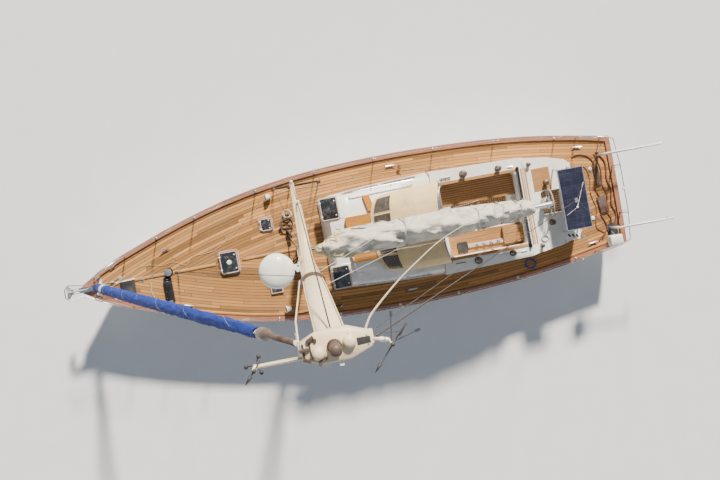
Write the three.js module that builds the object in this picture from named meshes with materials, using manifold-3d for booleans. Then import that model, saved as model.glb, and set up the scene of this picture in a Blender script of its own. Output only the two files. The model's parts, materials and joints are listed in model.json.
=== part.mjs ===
// A cruising sloop at anchor, 13.6 m long, in millimetres.
// +X runs to the bow, +Y to port and +Z up. The origin is on the waterline, amidships.
import * as THREE from 'three';
import { mergeVertices } from 'three/addons/utils/BufferGeometryUtils.js';
import Module from 'manifold-3d';

const wasm = await Module();
wasm.setup();

// Driving dimensions
const GAP = 0.4;                  // clear space between pieces that rest on each other
const BOW_X = 6800;
const STERN_X = -6800;
const DECK_THICKNESS = 22;
const DECK_CAMBER = 0.037;        // rise of the deck at the centreline, per unit of half beam
const RAIL_OUTSET = 14;
const RAIL_INSET = 105;
const RAIL_HEIGHT = 80;
const RAIL_SINK = 4;              // depth by which the rail's blank reaches below the sheer before it is trimmed
const HOUSE = { front: 760, slopeEnd: 560, aft: -2020, wall: 55, base: 1100, edgeTop: 1860, crown: 60 };
const CABIN = { front: 500, aft: -1950, halfWidth: 980, sole: -150 };
const COCKPIT = { front: -2040, aft: -5560, top: 1860, aftTop: 1790, base: 1100 };
const SLIDE = { halfWidth: 400, bottom: 1935, top: 1975 };
const SEATS = { front: -2230, aft: -4160, halfWidth: 900, level: 1460 };
const WELL = { front: -2480, aft: -4040, halfWidth: 360, sole: 880, wall: 45 };
const HELM = { x: -4840, z: 2010, radius: 330 };
const HELM_WELL = { front: -4700, aft: -5330, halfWidth: 290, sole: 1180 };
const MAST = { x: 1340, chord: 240, width: 160, top: 18560, taperFrom: 14500, headScale: 0.82 };
const GOOSENECK = { x: 1100, z: 2900 };
const BOOM = { end: -4660, height: 190, width: 120 };
const COLLAR_WALL = 14;
const SPREADERS = { lower: { z: 7250, reach: 1475 }, upper: { z: 12100, reach: 1030 } };
const CHAINPLATE = { x: 1250, aftX: 640, foreX: 1750, y: 1580 };
const STAY = { foot: [6360, 1750], head: [1520, 18460] };   // x, z of the forestay's two ends
const BACKSTAY = { joint: [-5050, 3500], quarterX: -6600, quarterY: 1180 };
const PANEL = { front: -5020, aft: -5660, halfWidth: 750, z: 2400, thickness: 36 };
const RUDDER = { x: -5150, stockRadius: 42 };
const PROPELLER = { x: -3620, z: -930, radius: 230 };
const FOOT_SINK = 8;              // depth by which feet reach below the deck before they are trimmed to it
const TOP_GEAR = { front: 1560, aft: 1088, deep: 150, lightRadius: 42, lightTop: 385 };
const WIND = 48;                  // degrees to port of the bow that the wind comes from
const WIND_VANE = { x: 980, y: 30, z: 330 };            // its bearing, above the masthead
const WIND_SENSOR = { x: 1872, y: 40, top: 257, foot: 70 };
const INNER_STAY = { x: 4430, head: 11500 };
const WINDLASS = { x: 4705, halfLength: 95, inner: 75, outer: 715, height: 150, capstan: [4640, -45] };
const RAIL_TUBE = 12.5;           // radius of the pulpit's, pushpit's and stanchions' tubes
const STANCHION_HEIGHT = 620;
const LIFELINE_HEIGHTS = [610, 330];

// Hull stations from the bow: x, half beam, sheer height, bottom height, fullness of the section
const STATIONS = [
  [6800, 14, 1520, 1290, 1.0], [6400, 290, 1500, 700, 1.15], [5900, 545, 1475, 230, 1.18],
  [5200, 815, 1445, -90, 1.12], [4200, 1165, 1405, -370, 1.0], [2800, 1545, 1360, -570, 0.88],
  [1200, 1800, 1310, -690, 0.8], [-800, 1905, 1270, -710, 0.75], [-2600, 1880, 1245, -600, 0.74],
  [-4200, 1770, 1235, -350, 0.74], [-5500, 1590, 1235, -40, 0.75], [-6800, 1350, 1250, 310, 0.78],
];
const HULL_SLICES = 25;
const SECTION_POINTS = 8;         // from the keel line to the sheer
const DECK_POINTS = 3;            // from the rail's inner edge to the centreline

const colours = {
  rope: 0xcdb78f,
  gelcoat: 0xe9e6dc, teak: 0xb98f5e, rail: 0x9a6547, iron: 0x39424d, antifoul: 0x2b3f63,
  bronze: 0xb08d4a, mast: 0xe4d8bb, alloy: 0xc8cacc, canvas: 0xd9ccab, sail: 0xe8e4d8,
  blue: 0x1f66c8, dark: 0x26282c, panel: 0x1b2240, steel: 0xd2d4d6, varnish: 0xa8662c,
  white: 0xf2f1ec, brown: 0x6e5548,
};

// Smooth value of one column of a table whose first column falls steadily
function along(table, x, column) {
  let i = 0;
  while (i < table.length - 2 && x < table[i + 1][0]) i += 1;
  const slope = (k) => {
    const a = table[Math.max(k - 1, 0)];
    const b = table[Math.min(k + 1, table.length - 1)];
    return (b[column] - a[column]) / (b[0] - a[0]);
  };
  const [x0, x1] = [table[i][0], table[i + 1][0]];
  const h = x1 - x0;
  const t = Math.min(Math.max((x - x0) / h, 0), 1);
  const [y0, y1] = [table[i][column], table[i + 1][column]];
  const [m0, m1] = [slope(i) * h, slope(i + 1) * h];
  return y0 + m0 * t + (3 * (y1 - y0) - 2 * m0 - m1) * t * t + (2 * (y0 - y1) + m0 + m1) * t * t * t;
}

const halfBeam = (x) => along(STATIONS, x, 1);
const sheer = (x) => along(STATIONS, x, 2);
const keelLine = (x) => along(STATIONS, x, 3);
const fullness = (x) => along(STATIONS, x, 4);
const hullTop = (x, y) => {
  const b = halfBeam(x);
  return sheer(x) + DECK_CAMBER * b * (1 - (y / b) ** 2);
};
const deckTop = (x, y) => hullTop(x, y) + DECK_THICKNESS + GAP;

// Evenly spaced values from a to b, both included
const steps = (a, b, n) => Array.from({ length: n + 1 }, (_, i) => a + ((b - a) * i) / n);

function geometryOf(vertices, faces) {
  const geometry = new THREE.BufferGeometry();
  geometry.setAttribute('position', new THREE.Float32BufferAttribute(vertices.flat(), 3));
  geometry.setIndex(faces.flat());
  return geometry;
}

// Closed solid through rings of equal length, each a list of [x, y, z] points
function loft(rings, closedLoop = false) {
  const n = rings[0].length;
  const vertices = rings.flat();
  const faces = [];
  const last = closedLoop ? rings.length : rings.length - 1;
  for (let i = 0; i < last; i += 1) {
    const next = ((i + 1) % rings.length) * n;
    for (let j = 0; j < n; j += 1) {
      const k = (j + 1) % n;
      faces.push([i * n + j, i * n + k, next + k], [i * n + j, next + k, next + j]);
    }
  }
  if (!closedLoop) {
    for (const [start, flip] of [[0, true], [(rings.length - 1) * n, false]]) {
      const ring = rings[start === 0 ? 0 : rings.length - 1];
      const normal = newellNormal(ring);
      const flat = flatten(ring, normal);
      for (const [a, b, c] of THREE.ShapeUtils.triangulateShape(flat, [])) {
        faces.push(flip ? [start + a, start + c, start + b] : [start + a, start + b, start + c]);
      }
    }
  }
  return outward(geometryOf(vertices, faces));
}

function newellNormal(ring) {
  const n = new THREE.Vector3();
  ring.forEach((p, i) => {
    const q = ring[(i + 1) % ring.length];
    n.x += (p[1] - q[1]) * (p[2] + q[2]);
    n.y += (p[2] - q[2]) * (p[0] + q[0]);
    n.z += (p[0] - q[0]) * (p[1] + q[1]);
  });
  return n.normalize();
}

// A ring's points on its own plane, in the same turning sense
function flatten(ring, normal) {
  const helper = Math.abs(normal.z) < 0.9 ? new THREE.Vector3(0, 0, 1) : new THREE.Vector3(1, 0, 0);
  const u = new THREE.Vector3().crossVectors(helper, normal).normalize();
  const v = new THREE.Vector3().crossVectors(normal, u);
  return ring.map((p) => {
    const q = new THREE.Vector3(...p);
    return new THREE.Vector2(q.dot(u), q.dot(v));
  });
}

// The same mesh with its faces turned out, whatever way its rings ran
function outward(geometry) {
  const p = geometry.attributes.position;
  const index = Array.from(geometry.index.array);
  const [a, b, c] = [new THREE.Vector3(), new THREE.Vector3(), new THREE.Vector3()];
  let volume = 0;
  for (let i = 0; i < index.length; i += 3) {
    a.fromBufferAttribute(p, index[i]);
    b.fromBufferAttribute(p, index[i + 1]);
    c.fromBufferAttribute(p, index[i + 2]);
    volume += a.dot(b.cross(c));
  }
  if (volume < 0) {
    for (let i = 0; i < index.length; i += 3) [index[i], index[i + 1]] = [index[i + 1], index[i]];
    geometry.setIndex(index);
  }
  return geometry;
}

function toSolid(geometry) {
  const bare = geometry.clone();
  bare.deleteAttribute('normal');
  bare.deleteAttribute('uv');
  const merged = mergeVertices(bare, 1e-3);
  return new wasm.Manifold(new wasm.Mesh({
    numProp: 3,
    vertProperties: new Float32Array(merged.attributes.position.array),
    triVerts: new Uint32Array(merged.index.array),
  }));
}

function toGeometry(solid) {
  const mesh = solid.getMesh();
  const geometry = new THREE.BufferGeometry();
  geometry.setAttribute('position', new THREE.BufferAttribute(mesh.vertProperties, 3));
  geometry.setIndex(new THREE.BufferAttribute(mesh.triVerts, 1));
  return geometry;
}

const join = (...shapes) => shapes.map(toSolid).reduce((a, b) => a.add(b));
const cut = (solid, ...shapes) => shapes.map(toSolid).reduce((a, b) => a.subtract(b), solid);

// Trims a piece's foot to the surface that carries it, with the small gap between them
const seated = (solid, ...supports) => supports.reduce((a, b) => a.subtract(b.translate([0, 0, GAP])), solid);

// Box between two corners
function box(x0, x1, y0, y1, z0, z1) {
  const geometry = new THREE.BoxGeometry(Math.abs(x1 - x0), Math.abs(y1 - y0), Math.abs(z1 - z0));
  return geometry.translate((x0 + x1) / 2, (y0 + y1) / 2, (z0 + z1) / 2);
}

// Round bar between two points, with its own radius at each end
function bar(from, to, r0, r1 = r0, sides = 8) {
  const [a, b] = [new THREE.Vector3(...from), new THREE.Vector3(...to)];
  const axis = b.clone().sub(a);
  const geometry = new THREE.CylinderGeometry(r1, r0, axis.length(), sides);
  const turn = new THREE.Quaternion().setFromUnitVectors(new THREE.Vector3(0, 1, 0), axis.clone().normalize());
  return geometry.applyQuaternion(turn).translate(...a.add(b).multiplyScalar(0.5).toArray());
}

// Trims a piece's head to the surface that it hangs from
const hung = (solid, support) => solid.subtract(support.translate([0, 0, -GAP]));

// Round tube through points, mitred at each bend
function bentTube(points, radius, sides = 6) {
  const centres = points.map((p) => new THREE.Vector3(...p));
  const runs = centres.slice(1).map((p, i) => p.clone().sub(centres[i]).normalize());
  const helper = Math.abs(runs[0].z) < 0.9 ? new THREE.Vector3(0, 0, 1) : new THREE.Vector3(1, 0, 0);
  const u = new THREE.Vector3().crossVectors(helper, runs[0]).normalize();
  const v = new THREE.Vector3().crossVectors(runs[0], u);
  let offsets = ellipse(radius, radius, sides).map(([a, b]) => u.clone().multiplyScalar(a).addScaledVector(v, b));
  const rings = centres.map((centre, i) => {
    if (i > 0 && i < runs.length) {
      const [before, after] = [runs[i - 1], runs[i]];
      const mitre = before.clone().add(after).normalize();
      offsets = offsets.map((o) => o.clone().addScaledVector(before, -o.dot(mitre) / before.dot(mitre)));
    }
    const ring = offsets.map((o) => centre.clone().add(o).toArray());
    if (i < runs.length) offsets = offsets.map((o) => o.clone().addScaledVector(runs[i], -o.dot(runs[i])));
    return ring;
  });
  return loft(rings);
}

// Turned piece on a vertical axis: profile of [radius, height] from the bottom up
function turned(profile, sides = 20) {
  const points = [[0, profile[0][1]], ...profile, [0, profile[profile.length - 1][1]]];
  const geometry = new THREE.LatheGeometry(points.map(([r, z]) => new THREE.Vector2(r, z)), sides);
  return outward(indexed(geometry.rotateX(Math.PI / 2)));
}

function indexed(geometry) {
  const bare = geometry.clone();
  bare.deleteAttribute('normal');
  bare.deleteAttribute('uv');
  const merged = mergeVertices(bare, 1e-3);
  const keep = [];
  const index = merged.index.array;
  for (let i = 0; i < index.length; i += 3) {
    const [a, b, c] = [index[i], index[i + 1], index[i + 2]];
    if (a !== b && b !== c && a !== c) keep.push(a, b, c);
  }
  merged.setIndex(keep);
  return merged;
}

// Plan outline extruded upwards
function prism(outline, z0, z1, bevel = 0) {
  const shape = new THREE.Shape(outline.map(([x, y]) => new THREE.Vector2(x, y)));
  const depth = z1 - z0 - 2 * bevel;
  const options = { depth, bevelEnabled: bevel > 0, bevelThickness: bevel, bevelSize: bevel,
    bevelOffset: -bevel, bevelSegments: 1, curveSegments: 6, steps: 1 };
  return new THREE.ExtrudeGeometry(shape, options).translate(0, 0, z0 + bevel);
}

// Rectangle with rounded corners as an outline
function roundedRect(x0, x1, y0, y1, r, arcSteps = 2) {
  const corners = [[x1 - r, y1 - r, 0], [x0 + r, y1 - r, 1], [x0 + r, y0 + r, 2], [x1 - r, y0 + r, 3]];
  return corners.flatMap(([cx, cy, quarter]) => steps(0, Math.PI / 2, arcSteps).map((t) => {
    const angle = t + (quarter * Math.PI) / 2;
    return [cx + r * Math.cos(angle), cy + r * Math.sin(angle)];
  }));
}

// Ellipse of a spar's section as [u, v] pairs
const ellipse = (a, b, sides) => steps(0, 2 * Math.PI, sides).slice(0, sides)
  .map((t) => [a * Math.cos(t), b * Math.sin(t)]);

const sloop = new THREE.Group();
const surfaces = {};              // solids that carry other pieces, kept for their feet

const finish = (color, roughness = 0.5, metalness = 0) => (
  new THREE.MeshStandardMaterial({ color, roughness, metalness }));

function add(name, shape, material) {
  const mesh = new THREE.Mesh(shape.isBufferGeometry ? shape : toGeometry(shape), material);
  mesh.name = name;
  sloop.add(mesh);
}

// Half of the hull's section: from the keel line out to the sheer
function sectionSide(x) {
  const [b, top, bottom, full] = [halfBeam(x), sheer(x), keelLine(x), fullness(x)];
  return steps(0, Math.PI / 2, SECTION_POINTS).map((t) => [
    b * Math.sin(t) ** full, bottom + (top - bottom) * (1 - Math.cos(t)) ** 1.12,
  ]);
}

// Heights across the deck from port to starboard, on points shared by the hull, deck and rail
function deckRow(x, lift) {
  const b = halfBeam(x);
  const inner = Math.max(b - RAIL_INSET, b * 0.3);
  const half = steps(inner, 0, DECK_POINTS);
  const ys = [b, ...half, ...half.slice(0, -1).reverse().map((y) => -y), -b];
  return ys.map((y) => [x, y, hullTop(x, y) + lift]);
}

const slices = steps(BOW_X, STERN_X, HULL_SLICES);

function hullBody() {
  return loft(slices.map((x) => {
    const side = sectionSide(x).slice(0, -1);
    const starboard = side.slice(1).map(([y, z]) => [x, -y, z]).reverse();
    const port = side.map(([y, z]) => [x, y, z]);
    return [...deckRow(x, 0), ...starboard, ...port];
  }));
}

function deckBody() {
  return loft(slices.slice(1).map((x) => {
    const lower = deckRow(x, GAP).slice(1, -1);
    const upper = deckRow(x, GAP + DECK_THICKNESS).slice(1, -1);
    return [...lower, ...upper.reverse()];
  }));
}

// Closed rail round the deck's edge, its foot on the hull's top face
function railRings() {
  const stern = STERN_X;
  const side = slices.slice(1);
  const section = (x, s, endX) => {
    const b = halfBeam(x);
    const outerY = b + RAIL_OUTSET;
    const innerY = b - RAIL_INSET + 1;
    const outerX = endX === undefined ? x : x - RAIL_OUTSET;
    const innerX = endX === undefined ? x : x + RAIL_INSET;
    const [zo, zi] = [hullTop(x, b) + GAP, hullTop(x, innerY) - RAIL_SINK];
    const top = sheer(x) + RAIL_HEIGHT;
    return [[outerX, s * outerY, zo], [innerX, s * innerY, zi], [innerX, s * innerY, top],
      [outerX, s * outerY, top]];
  };
  const port = side.slice(0, -1).map((x) => section(x, 1));
  const starboard = side.slice(0, -1).map((x) => section(x, -1)).reverse();
  const across = steps(1, -1, 6).map((k) => {
    const b = halfBeam(stern);
    const [yo, yi] = [k * (b + RAIL_OUTSET), k * (b - RAIL_INSET + 1)];
    const zo = hullTop(stern, Math.min(Math.abs(yo), b)) + 3;
    const zi = hullTop(stern + RAIL_INSET, yi) - RAIL_SINK;
    const top = sheer(stern) + RAIL_HEIGHT + DECK_CAMBER * b * (1 - k * k);
    return [[stern - RAIL_OUTSET, yo, zo], [stern + RAIL_INSET, yi, zi],
      [stern + RAIL_INSET, yi, top], [stern - RAIL_OUTSET, yo, top]];
  });
  const tip = [BOW_X + 60, BOW_X - 380];
  const bowTop = sheer(BOW_X) + RAIL_HEIGHT;
  const bow = [[tip[0], 0, hullTop(BOW_X, 0) + 1], [tip[1], 0, hullTop(tip[1], 0) - RAIL_SINK],
    [tip[1], 0, bowTop], [tip[0], 0, bowTop]];
  return [bow, ...port, ...across, ...starboard];
}

// Deckhouse ring at one x, inset from the outer face by a wall thickness
function houseRing(x, inset, floor) {
  const t = THREE.MathUtils.clamp((HOUSE.front - x) / (HOUSE.front - HOUSE.slopeEnd), 0, 1);
  const top = THREE.MathUtils.lerp(1440, HOUSE.edgeTop, t) - inset;
  const w = houseHalfWidth(x) - inset;
  const lean = THREE.MathUtils.lerp(8, 95, t);
  const crown = HOUSE.crown * t;
  const half = [[w, floor], [w, 1400], [w - lean, top - 70 * t], [w - lean - 70, top],
    [w * 0.45, top + crown * 0.75]];
  const port = half.map(([y, z]) => [x, y, z]);
  const starboard = half.map(([y, z]) => [x, -y, z]).reverse();
  return [...port, [x, 0, top + crown], ...starboard];
}

// Plan half width of the deckhouse: rounded front corners, widest near its aft end
function houseHalfWidth(x) {
  const table = [[760, 1000], [640, 1110], [400, 1165], [-600, 1240], [-2100, 1290]];
  return along(table, x, 1);
}

const houseSlices = [760, 660, 560, 400, 0, -600, -1300, -2020];

// Straight-sided pocket cut in the deck for the deckhouse and for the cockpit moulding
function housePocket(clear) {
  const edge = houseSlices.map((x, i) => [
    x + (i === 0 ? clear : 0) - (i === houseSlices.length - 1 ? clear : 0), houseHalfWidth(x) + clear,
  ]);
  return [...edge, ...edge.slice().reverse().map(([x, y]) => [x, -y])];
}

const cockpitOutline = (clear) => {
  const edge = [[COCKPIT.front + (clear > 0 ? clear : 0), 1285], [-4200, 1225], [-5000, 1110], [-5420, 990],
    [COCKPIT.aft, 860]].map(([x, y], i, all) => [i === all.length - 1 ? x - clear : x, y + clear]);
  return [...edge, ...edge.slice().reverse().map(([x, y]) => [x, -y])];
};

// Hatches: hinge line x, aft edge x, centre y, half width, height of the frame's top
const HATCHES = [
  { name: 'fore_hatch', hinge: 3380, aft: 2930, y: 0, half: 270, z: 1500, well: 300 },
  { name: 'foredeck_hatch', hinge: 2250, aft: 1950, y: -745, half: 155, z: 1440, well: 200 },
  { name: 'roof_hatch_port', hinge: 740, aft: 300, y: 840, half: 280, z: 1915, well: 0 },
  { name: 'roof_hatch_starboard', hinge: 740, aft: 300, y: -840, half: 280, z: 1915, well: 0 },
];

function hatchFrame({ hinge, aft, y, half, z }, foot) {
  const outer = prism(roundedRect(aft - 10, hinge + 10, y - half - 10, y + half + 10, 45), foot, z);
  return cut(toSolid(outer), hatchHole({ hinge, aft, y, half, z }, foot - 20));
}

const hatchHole = ({ hinge, aft, y, half, z }, foot) => prism(
  roundedRect(aft + 35, hinge - 35, y - half + 35, y + half - 35, 35), foot, z + 60);

function buildHull() {
  const hatchWells = HATCHES.filter((h) => h.well > 0).map((h) => hatchHole(h, h.z - h.well));
  const pocket = prism(housePocket(GAP), HOUSE.base - GAP, 2400);
  const cockpitPocket = prism(cockpitOutline(GAP), COCKPIT.base - GAP, 2400);
  const tub = box(WELL.front + WELL.wall + GAP, WELL.aft - WELL.wall - GAP,
    -WELL.halfWidth - WELL.wall - GAP, WELL.halfWidth + WELL.wall + GAP,
    WELL.sole - WELL.wall - GAP, COCKPIT.base + 1);
  const cabin = box(CABIN.front, CABIN.aft, -CABIN.halfWidth, CABIN.halfWidth, CABIN.sole, 1500);
  const stock = bar([RUDDER.x, 0, -700], [RUDDER.x, 0, 700], RUDDER.stockRadius + 2, undefined, 20);
  add('hull', cut(toSolid(hullBody()), pocket, cockpitPocket, tub, cabin, stock, ...hatchWells),
    finish(colours.gelcoat, 0.25));
  const frames = HATCHES.filter((h) => h.well > 0);
  const rings = railRings();
  const inside = rings.map(([, [x, y]]) => [x < STERN_X + RAIL_INSET + 1 ? x + GAP : x,
    y - Math.sign(y) * 2 * GAP]);
  surfaces.deck = toSolid(deckBody()).intersect(toSolid(prism(inside, 1000, 1700)));
  let deck = cut(surfaces.deck, pocket, cockpitPocket, ...frames.map((h) => hatchHole(h, h.z - h.well)));
  for (const h of frames) deck = deck.add(hatchFrame(h, hullTop(h.hinge, Math.abs(h.y) - h.half) + 4));
  add('deck', cut(deck, ...frames.map((h) => hatchHole(h, h.z - h.well))), finish(colours.teak, 0.7));
  const broadHull = toSolid(hullBody()).scale([1.0005, 1.004, 1]);
  surfaces.rail = seated(toSolid(loft(rings, true)), broadHull);
  add('cap_rail', surfaces.rail, finish(colours.rail, 0.45));
}

// Foil section in plan from its leading edge at x to its trailing edge
function foilRing(lead, chord, thick, z, points = 7) {
  const side = steps(0, Math.PI, points).map((t) => {
    const s = (1 - Math.cos(t)) / 2;
    return [lead - chord * s, thick * (1.48 * Math.sqrt(s) - 0.63 * s - 1.758 * s ** 2
      + 1.4215 * s ** 3 - 0.5075 * s ** 4)];
  });
  const port = side.slice(1, -1).map(([x, y]) => [x, y, z]);
  const starboard = side.slice(1, -1).map(([x, y]) => [x, -y, z]).reverse();
  return [[lead, 0, z], ...port, [lead - chord, 0, z], ...starboard];
}

// Underwater fins: each level is lead x, chord, thickness, height
const FINS = {
  keel: [[1100, 2450, 320, -400], [880, 2150, 300, -900], [560, 1900, 310, -1500], [300, 1750, 330, -2080]],
  skeg: [[-3900, 1130, 120, 60], [-4150, 900, 110, -700], [-4420, 650, 90, -1560]],
  rudder: [[-5082, 420, 105, -60], [-5082, 560, 100, -700], [-5085, 620, 90, -1300], [-5092, 560, 80, -1700]],
};

function finBody(levels) {
  return loft(levels.map(([lead, chord, thick, z]) => foilRing(lead, chord, thick, z)));
}

function buildUnderwater() {
  const hull = toSolid(hullBody());
  const clearHull = hull.translate([0, 0, -GAP]);
  add('keel', toSolid(finBody(FINS.keel)).subtract(clearHull), finish(colours.iron, 0.6, 0.3));
  const skeg = cut(toSolid(finBody(FINS.skeg)).subtract(clearHull),
    bar([RUDDER.x, 0, -1800], [RUDDER.x, 0, 900], 80, 80, 16), box(-5070, -5700, -200, 200, -1800, 900));
  const heel = box(-4900, RUDDER.x - 40, -32, 32, -1830, -1765);
  const heelArm = box(-4900, -4990, -32, 32, -1830, -1500);
  add('skeg', skeg.add(join(heel, heelArm)), finish(colours.antifoul, 0.7));
  const under = keelLine(RUDDER.x);
  const fin = toSolid(finBody(FINS.rudder)).subtract(hull.translate([0, 0, -40]));
  const stock = bar([RUDDER.x, 0, -1765 + GAP], [RUDDER.x, 0, under + 330], RUDDER.stockRadius, undefined, 20);
  add('rudder', fin.add(toSolid(stock)), finish(colours.antifoul, 0.7));

  const axisZ = PROPELLER.z;
  const shaftEnd = [PROPELLER.x + 60, 0, axisZ];
  const shaftTop = [-2350, 0, axisZ + 150];
  const strut = box(PROPELLER.x + 150, PROPELLER.x + 300, -12, 12, axisZ + 20, 0);
  const barrel = bar([PROPELLER.x + 110, 0, axisZ + 4], [PROPELLER.x + 330, 0, axisZ + 30], 42, 42, 14);
  const shaft = join(bar(shaftEnd, shaftTop, 20, 20, 12), strut, barrel);
  add('propeller_shaft', shaft.subtract(clearHull), finish(colours.bronze, 0.35, 0.8));
  const blades = [0, 1, 2].map((i) => {
    const blade = loft([[22, 26, 34], [130, 20, 95], [190, 14, 110], [PROPELLER.radius, 8, 60]]
      .map(([r, thick, wide], k) => {
        const pitch = 0.9 - 0.17 * k;
        const corner = (u, v) => [u * Math.cos(pitch) * thick - v * Math.sin(pitch) * wide,
          u * Math.sin(pitch) * thick + v * Math.cos(pitch) * wide, r];
        return [corner(0.5, -0.3), corner(0.5, 0.3), corner(0, 0.5), corner(-0.5, 0.3), corner(-0.5, -0.3),
          corner(0, -0.5)];
      }));
    return blade.rotateX((i * 2 * Math.PI) / 3).translate(PROPELLER.x - 10, 0, axisZ);
  });
  const hub = bar([PROPELLER.x - 100, 0, axisZ], [PROPELLER.x + 59.5, 0, axisZ], 26, 62, 16);
  const slope = -Math.atan2(shaftTop[2] - axisZ, shaftTop[0] - shaftEnd[0]);
  const propeller = [hub, ...blades].map((g) => g.translate(-shaftEnd[0], 0, -axisZ).rotateY(slope)
    .translate(shaftEnd[0], 0, axisZ));
  add('propeller', join(...propeller), finish(colours.bronze, 0.3, 0.8));
}

function buildDeckhouse() {
  const outer = loft(houseSlices.map((x) => houseRing(x, 0, HOUSE.base)));
  const innerSlices = [560, 400, 0, -600, -1300, HOUSE.aft + HOUSE.wall];
  const inner = loft(innerSlices.map((x) => houseRing(x, HOUSE.wall, HOUSE.base - 50)));
  const windows = [[120, 560], [-330, 560], [-880, 620], [-1400, 400]].flatMap(([front, length]) => [1, -1]
    .map((side) => {
      const outline = roundedRect(front - length * 0.78, front, 1540, 1700, 55);
      const pane = new THREE.ExtrudeGeometry(new THREE.Shape(outline.map(([x, z]) => new THREE.Vector2(x, z))),
        { depth: 500, bevelEnabled: false });
      return outward(indexed(pane.rotateX(Math.PI / 2).translate(0, side > 0 ? 1500 : -1000, 0)));
    }));
  const door = box(HOUSE.aft - 50, HOUSE.aft + 200, -330, 330, 1230, 2100);
  const slot = box(HOUSE.aft - 50, -1180, -330, 330, 1800, 2100);
  const hatchFrames = HATCHES.filter((h) => h.well === 0);
  let house = cut(toSolid(outer), inner, door, slot, ...windows);
  for (const h of hatchFrames) house = house.add(hatchFrame(h, HOUSE.edgeTop - 30));
  for (const s of [1, -1]) {
    house = house.add(toSolid(box(-1960, -350, s * 360, s * 398, HOUSE.edgeTop, SLIDE.bottom - GAP)));
  }
  house = cut(house, ...hatchFrames.map((h) => hatchHole(h, 1700)));
  add('coachroof', house, finish(colours.white, 0.3));
}

// Sliding companionway hatch and the varnished garage that it slides into
function buildCompanionway() {
  const clearRoof = toSolid(loft(houseSlices.map((x) => houseRing(x, 0, HOUSE.base)))).translate([0, 0, GAP]);
  const garageOuter = prism(roundedRect(-1180, 200, -560, 560, 60), 1870, 2045, 12);
  const garageInner = box(-1300, 130, -SLIDE.halfWidth - 12, SLIDE.halfWidth + 12, 1860, 1992);
  add('hatch_garage', cut(toSolid(garageOuter), garageInner).subtract(clearRoof), finish(colours.varnish, 0.35));
  const lid = prism(roundedRect(-1230, -330, -SLIDE.halfWidth, SLIDE.halfWidth, 25), SLIDE.bottom, SLIDE.top);
  const grip = box(-1230, -1200, -150, 150, SLIDE.top - 2, SLIDE.top + 14);
  add('companionway_hatch', join(lid, grip), finish(colours.varnish, 0.35));
}

// Sprayhood rings: x at its sides, half width, height of the arch over its base, and how far its middle leads
const HOOD = [[-640, 905, 215, 230], [-820, 935, 330, 190], [-1060, 960, 470, 120], [-1400, 985, 590, 40],
  [-1800, 1000, 640, 0], [-2140, 1005, 650, 0]];
const HOOD_BASE = 1868;

function hoodRing([x, w, h, lead = 0], inset, floor) {
  return steps(0, Math.PI, 14).map((t) => {
    const [c, s] = [Math.cos(t), Math.sin(t)];
    return [x + lead * s * s, (w - inset) * Math.sign(c) * Math.abs(c) ** 0.55, floor + (h - inset) * Math.abs(s) ** 0.6];
  });
}

function buildSprayhood() {
  const outer = loft(HOOD.map((row) => hoodRing(row, 0, HOOD_BASE)));
  const inner = loft([...HOOD.map(([x, w, h, lead], i) => [i === 0 ? x - 20 : x, w, h, lead]), [-2200, 1005, 650]]
    .map((row) => hoodRing(row, 18, HOOD_BASE - 20)));
  const clearance = 4;
  const garage = box(-1400, 260, -560 - clearance, 560 + clearance, 1800, 2045 + clearance);
  const roof = toSolid(loft(houseSlices.map((x) => houseRing(x, 0, HOUSE.base)))).translate([0, 0, GAP]);
  const under = box(-600, -2200, -1100, 1100, 1700, HOOD_BASE);
  add('sprayhood', cut(toSolid(outer), inner, garage, under).subtract(roof), finish(colours.canvas, 0.9));
}

function buildCockpit() {
  const body = toSolid(prism(cockpitOutline(0), COCKPIT.base, COCKPIT.top));
  const tub = box(WELL.front + WELL.wall, WELL.aft - WELL.wall, -WELL.halfWidth - WELL.wall,
    WELL.halfWidth + WELL.wall, WELL.sole - WELL.wall, COCKPIT.base + 1);
  const seatSpace = prism(roundedRect(SEATS.aft, SEATS.front, -SEATS.halfWidth, SEATS.halfWidth, 90),
    SEATS.level, 2000);
  const well = prism(roundedRect(WELL.aft, WELL.front, -WELL.halfWidth, WELL.halfWidth, 60), WELL.sole, 2000);
  const entry = box(COCKPIT.front + 10, SEATS.front - 100, -330, 330, SEATS.level, 2000);
  const helm = prism(roundedRect(HELM_WELL.aft, HELM_WELL.front, -HELM_WELL.halfWidth, HELM_WELL.halfWidth, 50),
    HELM_WELL.sole, 2000);
  const aftDrop = box(-4330, COCKPIT.aft - 50, -1400, 1400, COCKPIT.aftTop, 2000);
  surfaces.cockpit = cut(body.add(toSolid(tub)), seatSpace, well, entry, helm, aftDrop);
  add('cockpit', surfaces.cockpit, finish(colours.white, 0.35));
  const bridge = join(box(-4190, -4235, -1010, 1010, 1895, 1935),
    ...[-960, 960].map((y) => box(-4175, -4250, y - 40, y + 40, COCKPIT.top + GAP, 1900)));
  add('traveller', bridge, finish(colours.dark, 0.4, 0.5));
}

function buildHelm() {
  const pedestal = join(box(-4740, -4690, -120, 120, COCKPIT.aftTop + GAP, 2130),
    bar([-4735, 0, HELM.z], [HELM.x + 38.5, 0, HELM.z], 38, 30, 14));
  add('helm_pedestal', pedestal, finish(colours.white, 0.35));
  const rim = new THREE.TorusGeometry(HELM.radius, 15, 5, 20).rotateY(Math.PI / 2).translate(HELM.x, 0, HELM.z);
  const spokes = steps(0, Math.PI, 3).slice(0, 3).map((a) => bar(
    [HELM.x, -HELM.radius * Math.cos(a), HELM.z - HELM.radius * Math.sin(a)],
    [HELM.x, HELM.radius * Math.cos(a), HELM.z + HELM.radius * Math.sin(a)], 8));
  const hub = bar([HELM.x - 30, 0, HELM.z], [HELM.x + 38, 0, HELM.z], 45, 45, 14);
  add('helm_wheel', join(indexed(rim), ...spokes, hub), finish(colours.steel, 0.25, 0.9));
}

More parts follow.
